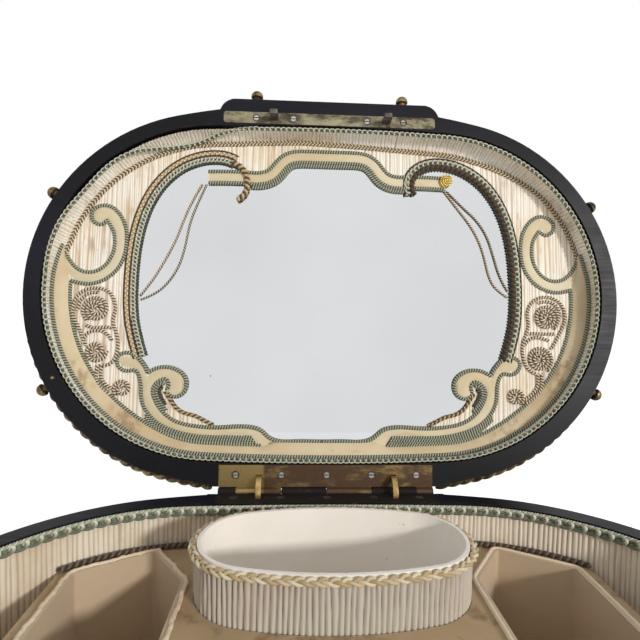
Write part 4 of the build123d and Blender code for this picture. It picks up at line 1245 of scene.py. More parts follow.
# Brown spots on the right of the lid's wall paint its shade away from the light, as well as browning.
LID_WALL_SILK = Silk("lid_wall_silk", (254, 250, 240), (178, 154, 120), (242, 228, 204), 0.25, streaks=0.3,
                     soils_and_shade=spots(LID_PLACE, (96, 172, 9, 34), (130, 148, 9, 28), (150, 108, 9, 40)))
PANEL_SILK = Silk("panel_silk", (255, 250, 238), (206, 178, 142), (246, 232, 206), 0.3, (168, 128, 88), 0.5,
                  spots(LID_PLACE, (-127, 130, 13.5, 15), (-127, 96, 13.5, 15), (-124, 74, 13.5, 12),
                        (124, 92, 13.5, 17), (120, 70, 13.5, 12), (126, 112, 13.5, 9), (72, 190, 13.5, 24),
                        (-38, 190, 13.5, 10), (104, 168, 13.5, 20)))
SKIRT_SILK = Silk("skirt_silk", (206, 200, 186), (120, 112, 100), (200, 184, 170), 0.2)
BOX_SILK = Silk("box_silk", (204, 182, 154), (150, 130, 105), (198, 178, 150), 0.3, folded=False)
EDGE_SILK = Silk("edge_silk", (232, 214, 188), (170, 145, 110), stains=0.3, folded=False)
BOARD_SILK = Silk("board_silk", (184, 158, 122), (120, 92, 60), (166, 138, 102), 0.9, (122, 90, 56),
                  folded=False)
RIBBON_SILK = Silk("ribbon_silk", (226, 213, 180), (170, 145, 105), (216, 198, 160), 0.4, (184, 148, 100),
                   folded=False, weave=4.0, on_cloth=True)
# Brown spots low on the band at both sides paint shade where the band turns away from the light, as well as
# soiling.
BAND_SILK = Silk("band_silk", (224, 206, 170), (160, 135, 100), (208, 184, 146), 0.5, (154, 122, 84),
                 folded=False, weave=4.0, on_cloth=True, soils_and_shade=spots(
                     LID_PLACE, (104, 28, 11, 40), (132, 60, 11, 34), (-108, 30, 11, 30), (-135, 58, 11, 24)))
BACK_CARD = Silk("backing_card", (150, 122, 90), (110, 84, 58), folded=False)
WOOD = EbonisedWood("ebonised_wood")
BARE_WOOD = EbonisedWood("inner_wood", (96, 70, 46), (120, 92, 64), (140, 110, 78))
LID_LEAF = AgedMetal("lid_leaf_brass", (160, 138, 88), (84, 64, 48), 0.72, 3.0, 0.34, -33.0)
BASE_LEAF = AgedMetal("base_leaf_brass", (104, 98, 76), (40, 36, 34), 0.85, 2.0, 0.45)
STAY_BRASS = AgedMetal("stay_brass", (196, 168, 108), (110, 84, 52), 0.45, 1.0, 0.3)
BRIGHT_SCREW = AgedMetal("bright_screw_steel", (196, 192, 184), (104, 96, 86), 0.45, 1.0, 0.32)
DULL_SCREW = AgedMetal("dull_screw_steel", (110, 104, 96), (50, 44, 38), 0.6, 1.0, 0.42)
PLATE_BRASS = AgedMetal("plate_brass", (160, 152, 122), (70, 64, 54), 0.55, 2.4, 0.42)
LOCK_STEEL = AgedMetal("lock_steel", (112, 106, 98), (58, 50, 44), 0.45, 1.0, 0.4)
GILT = AgedMetal("gilt_brass", (164, 140, 96), (60, 50, 42), 0.6, 1.0, 0.4)
YELLOW_WIRE = AgedMetal("gilt_wire", (226, 196, 96), (160, 120, 50), 0.3, 1.0, 0.3)
EDGE_CORD = Yarn("edge_cord", (58, 72, 62), (194, 194, 170), (84, 78, 58), 0.2, 0.2)
DARK_CORD = Yarn("dark_cord", (40, 34, 28), (112, 104, 84), (60, 46, 34))
PANEL_CORD = Yarn("panel_cord", (104, 78, 46), (240, 226, 194), (120, 92, 60), 0.2, 0.3)
# The rosette cord's dark brown strand is brown yarn and painted shade between the coils.
ROSETTE_CORD = Yarn("rosette_cord", (244, 232, 206), (92, 64, 38), (140, 102, 64), 0.3, 0.35)
# The gold cord's pale strand paints the cream highlights on the gold thread.
GOLD_CORD = Yarn("gold_cord", (172, 140, 84), (246, 234, 202), (140, 104, 58), sheen=0.15)
BROWN_CORD = Yarn("brown_cord", (52, 40, 28), (88, 68, 46), (50, 36, 26))
PALE_GIMP = Yarn("pale_gimp", (212, 212, 190), (168, 178, 156), (110, 108, 84), 0.25)
DARK_GIMP = Yarn("dark_gimp", (66, 78, 62), (116, 124, 102), (48, 42, 30))
CREAM_CORD = Yarn("cream_cord", (240, 228, 200), (120, 84, 50), (150, 116, 76), 0.2, 0.2)
GREY_CORD = Yarn("grey_cord", (222, 212, 184), (66, 66, 46), (110, 96, 66), 0.25, 0.2)
SAGE_GIMP = Yarn("sage_gimp", (104, 114, 94), (150, 156, 130), (96, 88, 64), 0.25)
OLIVE_CORD = Yarn("olive_cord", (88, 66, 36), (206, 182, 132), (96, 70, 40))
# Cream on the chain's upper side and dark green beneath: the gimp's pale and sage, laid out as painted
# highlight above and painted shade below.
BASE_GIMP = Yarn("base_gimp", (236, 232, 212), (104, 118, 100), (112, 100, 74), 0.2, 0.42)
INSERT_CORD = Yarn("insert_cord", (52, 42, 32), (116, 98, 74), (70, 56, 42))
BRAID_YARN = Yarn("cup_braid_yarn", (196, 172, 128), (232, 220, 188), (132, 108, 76), 0.35)
CUP_GLAZE = Glaze("cup_glaze")
MIRROR = Silvering("mirror_silver", spots(LID_PLACE, (-64, 58.8, PANEL, 0.7)))


# The box


@dataclass
class WoodCase:
    """The ebonised wood of base and lid, with its gilt rope and studs."""

    chips: tuple = ((-142.5, 57.5, 0.5, 2.2), (-98, 184.6, 2, 3))
    rope_height: float = 13.0
    rope_reach: float = 2.0
    block_half: float = 61.2
    rope: Cord = Cord(3, 19.5, 2.2, 2.2, 1.85, steps=22, sides=10, unevenness=0.12)

    def build(self, frame: dict) -> None:
        """Dresses the wood and the studs of the frame and lays the rope."""
        wood = WOOD.material(*spots(LID_PLACE, *self.chips))
        dress(frame, wood, "base_wall", "plinth", "lid_frame", "lid_crown")
        dress(frame, BARE_WOOD.material(), "base_floor")
        gilt = GILT.material()
        dress(frame, gilt, "lid_bosses")
        outline = CASE.inset(-self.rope_reach).points(1.0)
        routes = []
        for side in (-1, 1):
            plan = unbroken(outline, outline[:, 0] * side > self.block_half)
            routes.append(Route(LID_PLACE.points(lifted(plan, self.rope_height)), LID_PLACE.inward(plan)))
        settle(self.rope.laid("rope_of_strands", routes, gilt, 1.0), "lid", "gilt_brass", "rope_moulding")


@dataclass
class Metalwork:
    """Hinge, stays and lock, with a dark strip that paints the shade in the gap behind the knuckles."""

    strip_half: float = 56.0
    strip_low: float = 1.3
    strip_high: float = 2.7
    strip_near: float = 2.0
    strip_far: float = 2.3
    strip_count: int = 57
    screw_gap: float = 2.0
    head_depth: float = 0.6

    def heads(self, frame: dict, node: str) -> tuple[Point, ...]:
        """Middles of the screw heads of a node.

        Args:
            frame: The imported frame.
            node: Name of the node that holds the screws.

        Returns:
            One point of the frame for each screw, in millimetres.
        """
        points = read(frame["nodes"][node].data.vertices, "co") / MM
        points = points[np.argsort(points[:, 0])]
        starts = np.flatnonzero(np.diff(points[:, 0]) > self.screw_gap) + 1
        found = []
        for group in np.split(points, starts):
            x, _, z = (group.min(axis=0) + group.max(axis=0)) / 2
            found.append((float(x), float(group[:, 1].min() + self.head_depth), float(z)))
        return tuple(found)

    def backing_strip(self) -> Piece:
        """A dark strip that paints the shade seen through the gap behind the knuckles, in the lid's hinge
        groove.
        """
        rows = []
        for x in np.linspace(-self.strip_half, self.strip_half, self.strip_count):
            low = self.strip_low + 0.03 * math.sin(x * 1.7)
            near = [(x, low, self.strip_near), (x, self.strip_high, self.strip_near)]
            rows += [*near, (x, self.strip_high, self.strip_far), (x, low, self.strip_far)]
        points = LID_PLACE.points(np.array(rows))
        return closed_outwards(mesh_object("hinge_backing_strip", points, capped(self.strip_count, 4)))

    def build(self, frame: dict) -> None:
        """Dresses every metal node of the frame and fills the gap behind the knuckles with a dark strip of
        painted shade.
        """
        dress(frame, LID_LEAF.material(), "hinge_leaf_lid")
        dress(frame, BASE_LEAF.material(), "hinge_leaf_base")
        dress(frame, STAY_BRASS.material(), "quadrant_stay_left", "quadrant_stay_right", "hinge_pin")
        for name, node in (("lid", "hinge_screws_lid"), ("strike", "strike_screws"), ("lock", "lock_screws")):
            steel = replace(BRIGHT_SCREW, name=f"{name}_screw_steel", heads=self.heads(frame, node))
            dress(frame, steel.material(), node)
        dress(frame, DULL_SCREW.material(), "hinge_screws_base")
        # The dark brown strip is painted shade in the gap behind the knuckles.
        settle(coated(self.backing_strip(), BROWN_CORD.material()), "lid", "silk_board")
        dress(frame, PLATE_BRASS.material(), "strike_plate", "lock_plate", "escutcheon")
        dress(frame, LOCK_STEEL.material(), "strike_hooks", "lock_case", "lock_bolt")


@dataclass
class LidWall:
    """Gathered silk round the lid's recess, the gimp along its rim and the panel's cord."""

    cord_inset: tuple = (
        (-152, 5), (-141.4, 4.9), (-125.7, 5.1), (-91.8, 5.8), (-51.4, 5.3), (-16.6, 4.3), (41.5, 6.6),
        (65.1, 7.3), (86.7, 7.8), (99.4, 7.2), (111.2, 6.1), (126.6, 3.5), (140.9, 2.8), (152, 2.8),
    )
    loose_gimp: tuple = (
        (-149.8, 114, 1.6), (-147, 131.5, 1.3), (-140.6, 145.4, 1.4), (-130.9, 159.3, 2.6),
        (-122.3, 169.4, 2.4), (-108.4, 180.1, 4), (-101.7, 183, 6.5), (-94.7, 184.9, 9), (-79.8, 188.1, 11),
        (-73, 189.8, 10.5), (-63.8, 193.1, 8), (-50, 195.4, 4), (-40, 195.6, 2.2),
    )
    wall_heights: tuple = (3, 4.5, 6.5, 8.5, 10.3, 11.8, 13, 13.9)
    wall_shares: tuple = (0.0, 0.02, 0.06, 0.16, 0.34, 0.58, 0.82, 0.96)
    wall_foot: float = 0.5
    wall_short: float = 1.4
    wall_lower: float = 2.6
    cord_lower: float = 2.9
    upper_half: tuple = (112, 135)
    pleats: Gathers = Gathers(1.9, 0.62, 2.2, 1.6, 3.0, 0.3, 0.7)
    gimp_inset: float = 1.6
    gimp_height: float = 1.9
    gimp_half: float = 0.35
    gimp: Cord = Cord(1, 3.0, 0.85, 0.4, 0.36, along_swing=0.95, steps=14, sides=5, unevenness=0.35)
    core: Cord = Cord(2, 2.4, 0.42, 0.3, 0.46, unevenness=0.2)
    cord: Cord = Cord(2, 2.0, 0.42, 0.36, 0.42, steps=9, sides=5, unevenness=0.2)
    cord_gap: float = 0.68
    cord_height: float = 12.75
    cord_ends: float = 126.0

    def inset_at(self, outline: Array, lower: float) -> Array:
        """Inset of the panel's cord for each outline point, held at lower in the lower half."""
        x, inset = np.array(self.cord_inset).T
        upper = np.interp(outline[:, 0], x, inset)
        return lower + (upper - lower) * smooth_step(outline[:, 1], *self.upper_half)

    def silk(self) -> None:
        """Makes the silk wall."""
        outline = RIM_EDGE.points(0.36)
        reach = self.inset_at(outline, self.wall_lower) - self.wall_short - self.wall_foot
        insets = [self.wall_foot + reach * share for share in self.wall_shares]
        sheet = wall_sheet("lid_wall_silk", outline, LID_PLACE, self.wall_heights, insets)
        sheet = self.pleats.made(sheet, LID_WALL_SILK.material())
        settle(sheet, "lid", "pleated_silk", "lid_lining")

    def rim_gimp(self) -> None:
        """Lays the gimp along the rim, loose at the upper left."""
        plan = RIM_EDGE.inset(self.gimp_inset).points(0.8)
        start, end = self.loose_gimp[0], self.loose_gimp[-1]
        tight = unbroken(plan, ~((plan[:, 1] > start[1]) & (plan[:, 0] < end[0])))
        loose = flowing(self.loose_gimp, 0.8)[::-1]
        line = resampled(np.vstack([lifted(tight, self.gimp_height), loose[1:-1]]), 0.8, closed=True)
        over, under = (
            Route(LID_PLACE.points(line + (0.0, 0.0, deeper)), TO_VIEWER, closed=True)
            for deeper in (-self.gimp_half, self.gimp_half)
        )
        pieces = [
            self.gimp.laid("lid_gimp_loops", [over], PALE_GIMP.material(), 2.0),
            self.core.laid("lid_gimp_core", [under], DARK_GIMP.material(), 3.0),
        ]
        settle(joined("lid_rim_gimp", pieces), "lid", "gimp_braid", "lid_gimp")

    def build(self, frame: dict) -> None:
        """Makes the silk wall, the gimp and the panel's cord of two rows that lie opposite ways."""
        self.silk()
        self.rim_gimp()
        outline = RIM_EDGE.points(0.8)
        inset = self.inset_at(outline, self.cord_lower)
        yarn = PANEL_CORD.material()
        pieces = []
        for name, way, cord in (("inner", 1, self.cord), ("outer", -1, self.cord.other_hand())):
            path = shifted(outline, inset + way * self.cord_gap, closed=True)
            path = unbroken(path, outline[:, 1] > self.cord_ends)
            pieces.append(cord.laid(f"panel_cord_{name}", [on_lid(path, self.cord_height)], yarn, 3.0))
        settle(joined("panel_edge_cord", pieces), "lid", "twisted_cord", "panel_cord")


@dataclass
class LidPanel:
    """Gathered silk round the mirror, in four patches, with the mirror behind it."""

    half: float = 108.0
    shift: float = -2.2
    step: float = 0.34
    rim_gap: float = 1.75
    end_gap: float = 1.8
    pleats: Gathers = Gathers(2.0, 0.5, 5.5, 3.6, 5.0, 0.6, 1.1)
    foot_edge: tuple = (
        (0, 19), (22, 20), (30, 23), (38, 28.2), (56, 29), (60.7, 32.2), (65.4, 34.6), (70.2, 36.8),
        (76.9, 38.8), (80.7, 42), (84.1, 46.9), (84.9, 56.5), (88, 60.5), (96, 60.5), (102, 66), (105.4, 74),
        (108, 84), (110.6, 100), (112, 104),
    )
    head_edge: tuple = (
        (0, 184.6), (14, 184.6), (22.5, 183.2), (27.5, 179), (31.5, 174.2), (36.5, 171.6), (46, 171.6),
        (47.5, 173), (50, 177), (54, 180), (66, 182.2), (84, 176), (98.4, 160), (105.6, 140), (108.1, 118),
        (112, 112),
    )

    def rim_depth(self, x: Array, front: bool) -> Array:
        """Distance of the panel's outer edge from the hinge.

        Args:
            x: Where it is wanted.
            front: Whether on the side away from the hinge.

        Returns:
            One distance for each X.
        """
        outline = RIM_EDGE.inset(self.rim_gap).points(0.2)
        half = outline[(outline[:, 1] >= RIM_EDGE.centre) == front]
        order = np.argsort(half[:, 0])
        return np.interp(x, half[order, 0], half[order, 1])

    def patch(self, name: str, x: Array, low: Array, high: Array, rows: int) -> Piece:
        """A patch of silk between two edges.

        Args:
            name: Name of the patch.
            x: Its columns.
            low: Distance of its lower edge from the hinge in each column.
            high: Distance of its upper edge from the hinge in each column.
            rows: Number of its rows.

        Returns:
            The patch, ready to be gathered.
        """
        share = np.linspace(0, 1, rows)
        depth = low[None] + (high - low)[None] * share[:, None]
        height = np.full(depth.shape, PANEL - 0.02)
        drawn = np.stack([np.broadcast_to(x, depth.shape), depth, height], axis=-1).reshape(-1, 3)
        out = np.tile(TO_VIEWER, (len(drawn), 1))
        fields = {"run": drawn[:, 0] * MM + 0.4, "rise": drawn[:, 1] / 200.0, "out": out}
        return faced(mesh_object(name, LID_PLACE.points(drawn), lattice(rows, len(x)), **fields), TO_VIEWER)

    def build(self, frame: dict) -> None:
        """Makes the panel's silk and dresses mirror and backing."""
        middle = np.arange(-self.half, self.half + 1e-6, self.step)
        foot = np.interp(np.abs(middle - self.shift), *np.array(self.foot_edge).T)
        head = np.interp(np.abs(middle), *np.array(self.head_edge).T)
        low, high = (self.rim_depth(middle, front) for front in (False, True))
        patches = [
            self.patch("panel_foot", middle, low, np.maximum(foot, low + 1), 24),
            self.patch("panel_head", middle, head, high, 20),
        ]
        end = np.arange(self.half, RIM_EDGE.half_width - self.end_gap, self.step)
        for name, x in (("panel_left", -end[::-1]), ("panel_right", end)):
            patches.append(self.patch(name, x, self.rim_depth(x, False), self.rim_depth(x, True), 60))
        sheet = self.pleats.made(joined("panel_silk_sheet", patches), PANEL_SILK.material())
        settle(sheet, "lid", "pleated_silk", "lid_panel")
        dress(frame, MIRROR.material(), "mirror_glass")
        dress(frame, BACK_CARD.material(), "mirror_backing")


@dataclass
class RibbonWork:
    """Silk ribbon on the lid, with whipped cords along its edges.

    Each scroll's silk lies between two edge lines with matched knots, and its cords follow lines
    of their own. They are drawn for the right side.
    """

    cartouche: tuple = (
        (0, 184.6), (14, 184.6), (22.5, 183.2), (27.5, 179), (31.5, 174.2), (36.5, 171.6), (46, 171.2),
        (68, 171),
    )
    cartouche_half: float = 3.3
    under_gap: float = 1.9
    under_half: float = 44.0
    c_silk: tuple = (
        (143.6, 111, 147.4, 131.2), (141.5, 110.3, 146, 129.8), (137.5, 109, 143.2, 122),
        (132.3, 108.7, 137.5, 116.6), (121.7, 112.3, 126.5, 116.9), (114.8, 120.2, 120.4, 124),
        (112.2, 131, 118.6, 131.4), (113.2, 141.7, 119.8, 138.5), (117.2, 149.1, 121.8, 142.3),
        (122.5, 152.7, 123.7, 144.4), (127.4, 152.4, 124.6, 143.8), (131, 149.4, 125.6, 143.2),
        (131.2, 145.4, 126.8, 142.8),
    )
    c_cords: tuple = (
        ((141.5, 110.3), (132.3, 108.7), (121.7, 112.3), (114.8, 120.2), (112.2, 131), (113.2, 141.7),
         (117.2, 149.1), (122.5, 152.8), (127.6, 152.6), (131.3, 149.8), (131.6, 145.4), (129.2, 142.7),
         (126.3, 142.3), (123.7, 144.2)),
        ((146, 129.8), (144.3, 124.6), (141.3, 119.9), (136.9, 116.3), (129.1, 115.6), (121.9, 121),
         (118.6, 131.4), (120.3, 140), (123.7, 144.9)),
    )
    foot_shift: float = -2.2
    foot_silk: tuple = (
        (27, 24.2, 33, 18.5), (31, 27, 35.9, 20.9), (34.5, 30, 38.2, 23.8), (38, 30.9, 40.5, 25.6),
        (56, 30.8, 56, 25.7), (70.1, 31.7, 70.1, 26.5), (79.7, 34.1, 81.5, 29.3), (86.4, 38.7, 89.2, 33),
        (91, 45.1, 95, 38.6), (92.5, 51.6, 98.6, 48), (90.5, 54.9, 97.2, 57), (87.3, 56.7, 91.5, 62.4),
        (85, 56, 82, 62.9), (84.2, 54, 75.6, 57), (84.4, 51.6, 76.2, 50), (84.6, 50.6, 80.6, 47.6),
    )
    bulb_silk: tuple = (
        (91.5, 50, 99, 50), (93, 55.5, 99.6, 56), (95.6, 60.2, 100.8, 59.6), (97.6, 64.2, 102.8, 61.6),
        (101, 68, 105, 61.6), (105, 70.5, 107.6, 61.4), (108.6, 70.8, 110.4, 62.8), (111, 69.6, 112.1, 65.8),
    )
    curl_row: tuple = (
        (92, 60.4), (86.4, 61.6), (81, 60.2), (77.6, 56.9), (76.6, 53.2), (78.6, 50), (81.6, 49.4),
    )
    foot_top: tuple = (
        (-29, 25.6), (-24, 23.6), (-14, 23.4), (0, 23.3), (14, 23.4), (24, 23.6), (29, 25.6), (33.6, 29.4),
        (38, 30.9), (56, 30.8), (70.1, 31.7), (79.7, 34.1), (86.4, 38.7), (91, 45.1), (92.5, 51.6),
        (89.5, 55.8), (85.6, 56.7), (84.2, 54.4), (85, 51),
    )
    foot_low: tuple = (
        ((38.5, 25.6), (56, 25.7), (70.1, 26.5), (81.5, 29.3), (89.2, 33), (95, 38.6), (98.4, 45.5),
         (99, 51.5), (99.8, 57), (102.6, 61.4), (106.7, 61.2), (110.5, 62.5), (112.5, 65.9), (111.7, 69.3),
         (108.2, 71), (103.9, 70.3), (99.7, 66.6), (97, 62.9), (95.8, 60.3)),
        ((95.8, 60.3), (91.5, 62.6), (85.7, 63.5), (80, 62), (75.6, 58.2), (74.6, 53.3), (77, 48.7),
         (81.2, 47.4), (84.8, 49.7)),
    )
    rows: tuple = (
        ((37.6, 24.1), (56, 24.2), (70.2, 25.1), (81.5, 27.9), (89.6, 31.8), (96, 38)),
        ((36.6, 22.6), (56, 22.7), (70.2, 23.6), (81.5, 26.3), (90, 30.6), (96, 36)),
        ((35.6, 21.1), (56, 21.3), (70.2, 22.2), (80, 24.4), (88, 28.2)),
        ((85.1, 40), (89.4, 46), (90.7, 51.3), (88.6, 54.4), (86.2, 54.4)),
    )
    dark_row: tuple = ((85.6, 43), (88, 47.2), (88.9, 51), (87.4, 52.9))
    height: float = 13.75
    crown: float = 0.9
    thickness: float = 0.3
    tucked: float = 0.35
    bulb_rise: float = 0.12
    edge: Cord = Cord(2, 1.45, 0.8, 0.52, 0.41, sides=5)
    band_inset: float = 2.3
    band_foot: float = 9.2
    band_head: float = 13.35
    band_end: float = 110.3
    band_tip: float = 130.5
    band_split: float = 36.0
    band_narrow: float = 5.0
    band_more: float = 2.9
    band_point: float = 0.3
    band_ends: tuple = (72, 116)
    band_middle: float = 25.0

    def strip(self, name: str, one: Array, other: Array, height: float) -> Piece:
        """Ribbon silk between two drawn edges with as many points."""
        placed = [LID_PLACE.points(lifted(line, height)) for line in (one, other)]
        return ribbon_shell(name, *placed, TO_VIEWER, self.crown, self.thickness)

    def matched(self, name: str, pairs: tuple, side: int, shift: float, height: float) -> Piece:
        """Ribbon silk between two lines of matched knots.

        Args:
            name: Name of the piece.
            pairs: A knot of one edge and a knot of the other in each row.
            side: 1 for the right side, minus 1 for the left.
            shift: Distance that it is moved along X.
            height: Height of its edges over the lid's rim.

        Returns:
            The ribbon, with its edges tucked under the cords.
        """
        knots = np.asarray(pairs, float)
        edges = (knots[:, :2], knots[:, 2:])
        one, other = (spline_points(edge * (side, 1) + (shift, 0), 9) for edge in edges)
        margin = unit(one - other) * self.tucked
        return self.strip(name, one + margin, other - margin, height)

    def route(self, points: Array, deeper: float = 0.6) -> Route:
        """A cord's route from a drawn line on the panel."""
        return on_lid(resampled(points, 0.4), self.height - deeper)

    def band_width(self, plan: Array) -> Array:
        """Width of the band for each outline point, narrow beside the foot scrolls and at its ends."""
        away = np.abs(plan[:, 0])
        middle = 1 - smooth_step(away, self.band_middle, self.band_split)
        width = self.band_narrow + self.band_more * np.maximum(middle, smooth_step(away, *self.band_ends))
        tip = np.clip((plan[:, 1] - self.band_end) / (self.band_tip - self.band_end), 0.0, 1.0)
        return self.band_point + (width - self.band_point) * (1 - tip)

    def band(self) -> None:
        """Makes the ribbon that bridges wall and panel round the lower half, pointed at both ends."""
        silk, yarn = BAND_SILK.material(), EDGE_CORD.material()
        outline = RIM_EDGE.inset(self.band_inset).points(0.4)
        plan = unbroken(outline, outline[:, 1] < self.band_tip)
        outer = lifted(plan, self.band_foot + 1.4 * smooth_step(plan[:, 1], self.band_end, self.band_tip))
        inner = lifted(shifted(plan, self.band_width(plan)), self.band_head)
        look = LID_PLACE.inward(plan) * 0.563 + TO_VIEWER * 0.826
        edges = [LID_PLACE.points(outer), LID_PLACE.points(inner)]
        made = ribbon_shell("edge_band_ribbon", *edges, look, 0.7, 0.35)
        lines = [(outer, 0.35)]
        for side in (-1, 1):
            kept = (inner[:, 0] * side > self.band_split - 1.0) & (plan[:, 1] < self.band_end)
            lines.append((inner[kept], 0.3))
        placed = [LID_PLACE.points(resampled(line, 0.4)) + TO_VIEWER * proud for line, proud in lines]
        routes = [Route(points, TO_VIEWER) for points in placed]
        settle(coated(made, silk), "lid", "ribbon_silk", "edge_band")
        settle(self.edge.laid("edge_band_cords", routes, yarn, 4.0), "lid", "twisted_cord")

    def over_mirror(self, silk: Finish, yarn: Finish) -> None:
        """Makes the ribbon over the mirror's top."""
        half = list(self.cartouche)
        centre = flowing([(-x, d) for x, d in half[:0:-1]] + half)
        edges = [shifted(centre, aside) for aside in (self.cartouche_half, -self.cartouche_half)]
        made = self.strip("cartouche_silk", *edges, self.height)
        settle(coated(made, silk), "lid", "ribbon_silk", "cartouche_ribbon")
        under = shifted(centre, -self.cartouche_half - self.under_gap)
        routes = [self.route(line) for line in edges]
        routes.append(self.route(under[np.abs(under[:, 0]) < self.under_half], 0.3))
        settle(self.edge.laid("cartouche_cords", routes, yarn, 5.0), "lid", "twisted_cord")

    def scrolls(self, name: str, side: int, silk: Finish, yarn: Finish, dark: Finish) -> None:
        """Makes both scrolls of one side.

        Args:
            name: Name of the side.
            side: 1 for the right side, minus 1 for the left.
            silk: Finish of the ribbon.
            yarn: Finish of the cords along it.
            dark: Finish of the cords inside the curl.
        """

        def drawn(lines: Sequence[Points], shift: float = 0.0) -> list[Array]:
            """Lines through knots, moved to their side."""
            return [flowing(line) * (side, 1) + (shift, 0) for line in lines]

        c_silk = self.matched(f"c_scroll_silk_{name}", self.c_silk, side, 0.0, self.height)
        settle(coated(c_silk, silk), "lid", "ribbon_silk", f"c_scroll_{name}")
        foot = self.matched(f"foot_silk_{name}", self.foot_silk, side, self.foot_shift, self.height)
        raised = self.height + self.bulb_rise
        bulb = self.matched(f"bulb_silk_{name}", self.bulb_silk, side, self.foot_shift, raised)
        both = joined(f"foot_scroll_silk_{name}", [coated(foot, silk), coated(bulb, silk)])
        settle(both, "lid", "ribbon_silk", f"foot_scroll_{name}")
        top = flowing(self.foot_top)
        lines = drawn(self.c_cords) + drawn((*self.foot_low, *self.rows), self.foot_shift)
        lines.append(top[top[:, 0] > 0.0] * (side, 1) + (self.foot_shift, 0))
        routes = [self.route(line) for line in lines]
        settle(self.edge.laid(f"scroll_cords_{name}", routes, yarn, 6.0 + side), "lid", "twisted_cord")
        row, curl = drawn((self.dark_row, self.curl_row), self.foot_shift)
        routes = [self.route(row), self.route(curl, -0.2)]
        settle(self.edge.laid(f"curl_rows_{name}", routes, dark, 9.0 + side), "lid", "twisted_cord")

    def build(self, frame: dict) -> None:
        """Makes every ribbon with its cords."""
        silk, yarn, dark = RIBBON_SILK.material(), EDGE_CORD.material(), DARK_CORD.material()
        self.band()
        self.over_mirror(silk, yarn)
        for name, side in (("left", -1), ("right", 1)):
            self.scrolls(name, side, silk, yarn, dark)


@dataclass
class Piping:
    """Cords and gimp side by side that frame the mirror, and the gold cord at its foot.

    Left and right give each cord's name, make, yarn, distance away from the mirror and height.
    """

    route: tuple = (
        (101.8, 69), (107, 88), (108.4, 112), (105.6, 140), (98.4, 160), (84, 176), (66, 182.2), (54, 180),
        (47.5, 172.5), (48, 164),
    )
    hook: tuple = (
        (54.4, 179.6), (49.6, 176.8), (46.4, 171.2), (46.2, 165.4), (48.4, 160.6), (51.2, 158.4),
    )
    hook_height: float = 12.2
    foot_gold: tuple = (
        (86, 50), (83.6, 46.6), (79.9, 41.4), (75, 38.4), (69.6, 37), (65.2, 34.9), (59.7, 32.2),
    )
    foot_shift: float = -2.2
    foot_height: float = 13.1
    top_left: float = 53.0
    fine: Cord = Cord(2, 1.2, 0.3, 0.3, 0.3, steps=7, sides=5)
    plait: Cord = Cord(3, 2.7, 0.72, 0.34, 0.42, Lay.PLAITED, steps=10, sides=5)
    loops: Cord = Cord(1, 2.2, 1.25, 0.4, 0.46, along_swing=0.7, steps=14, sides=5, unevenness=0.3)
    wide_loops: Cord = Cord(1, 3.0, 1.15, 0.4, 0.56, along_swing=0.8, steps=14, sides=5, unevenness=0.25)
    core: Cord = Cord(2, 2.2, 0.42, 0.3, 0.5, unevenness=0.2)
    thick: Cord = Cord(2, 3.0, 0.85, 0.7, 0.9, steps=9, sides=7)
    foot: Cord = Cord(2, 2.6, 0.5, 0.45, 0.56, steps=9, unevenness=0.25)
    scallop: Cord = Cord(1, 1.8, 0.32, 0.3, 0.42, along_swing=0.3, steps=12, sides=5, unevenness=0.3)
    # The dark edge scallops on the mirror's side paint the piping's shadow over dark green gimp; on the
    # right, the thick brown cord is the gold cord painted in shade, with that shadow.
    left: tuple = (
        ("outer", fine, BROWN_CORD, 4.2, 13.2), ("gold", plait, GOLD_CORD, 2.7, 13.0),
        ("inner", fine, BROWN_CORD, 1.3, 13.2), ("gimp", loops, PALE_GIMP, -0.8, 12.9),
        ("core", core, DARK_GIMP, -0.8, 13.4), ("edge", scallop, DARK_GIMP, -2.7, 13.4),
    )
    right: tuple = (
        ("outer", fine, BROWN_CORD, 3.6, 13.2), ("gimp", wide_loops, PALE_GIMP, 1.5, 12.9),
        ("core", core, DARK_GIMP, 1.5, 13.4), ("brown", thick, BROWN_CORD, -1.2, 13.0),
        ("edge", scallop, DARK_GIMP, -3.0, 13.4),
    )

    def build(self, frame: dict) -> None:
        """Lays the cords of both sides, and the hook at the top of the left one."""
        yarns = {yarn: yarn.material() for yarn in (GOLD_CORD, BROWN_CORD, PALE_GIMP, DARK_GIMP, OLIVE_CORD)}
        for name, side, cords in (("left", -1, self.left), ("right", 1, self.right)):
            centre = flowing(np.asarray(self.route, float) * (side, 1))
            laid = []
            for seed, (label, cord, yarn, out, height) in enumerate(cords, start=2):
                plan = shifted(centre, -out * side)
                if side < 0:
                    plan = plan[: int(np.argmax(np.abs(centre[:, 0] + self.top_left) < 0.4))]
                route = on_lid(resampled(plan, 0.4), height)
                laid.append(cord.laid(f"piping_{label}_{name}", [route], yarns[yarn], float(seed)))
            if side < 0:
                hook = on_lid(flowing(self.hook) * (side, 1), self.hook_height)
                laid.append(self.thick.laid("piping_hook_left", [hook], yarns[OLIVE_CORD], 8.0))
            foot = on_lid(flowing(self.foot_gold) * (side, 1) + (self.foot_shift, 0), self.foot_height)
            laid.append(self.foot.laid(f"piping_foot_{name}", [foot], yarns[OLIVE_CORD], 9.0))
            settle(joined(f"piping_{name}", laid), "lid", "twisted_cord", f"mirror_piping_{name}")


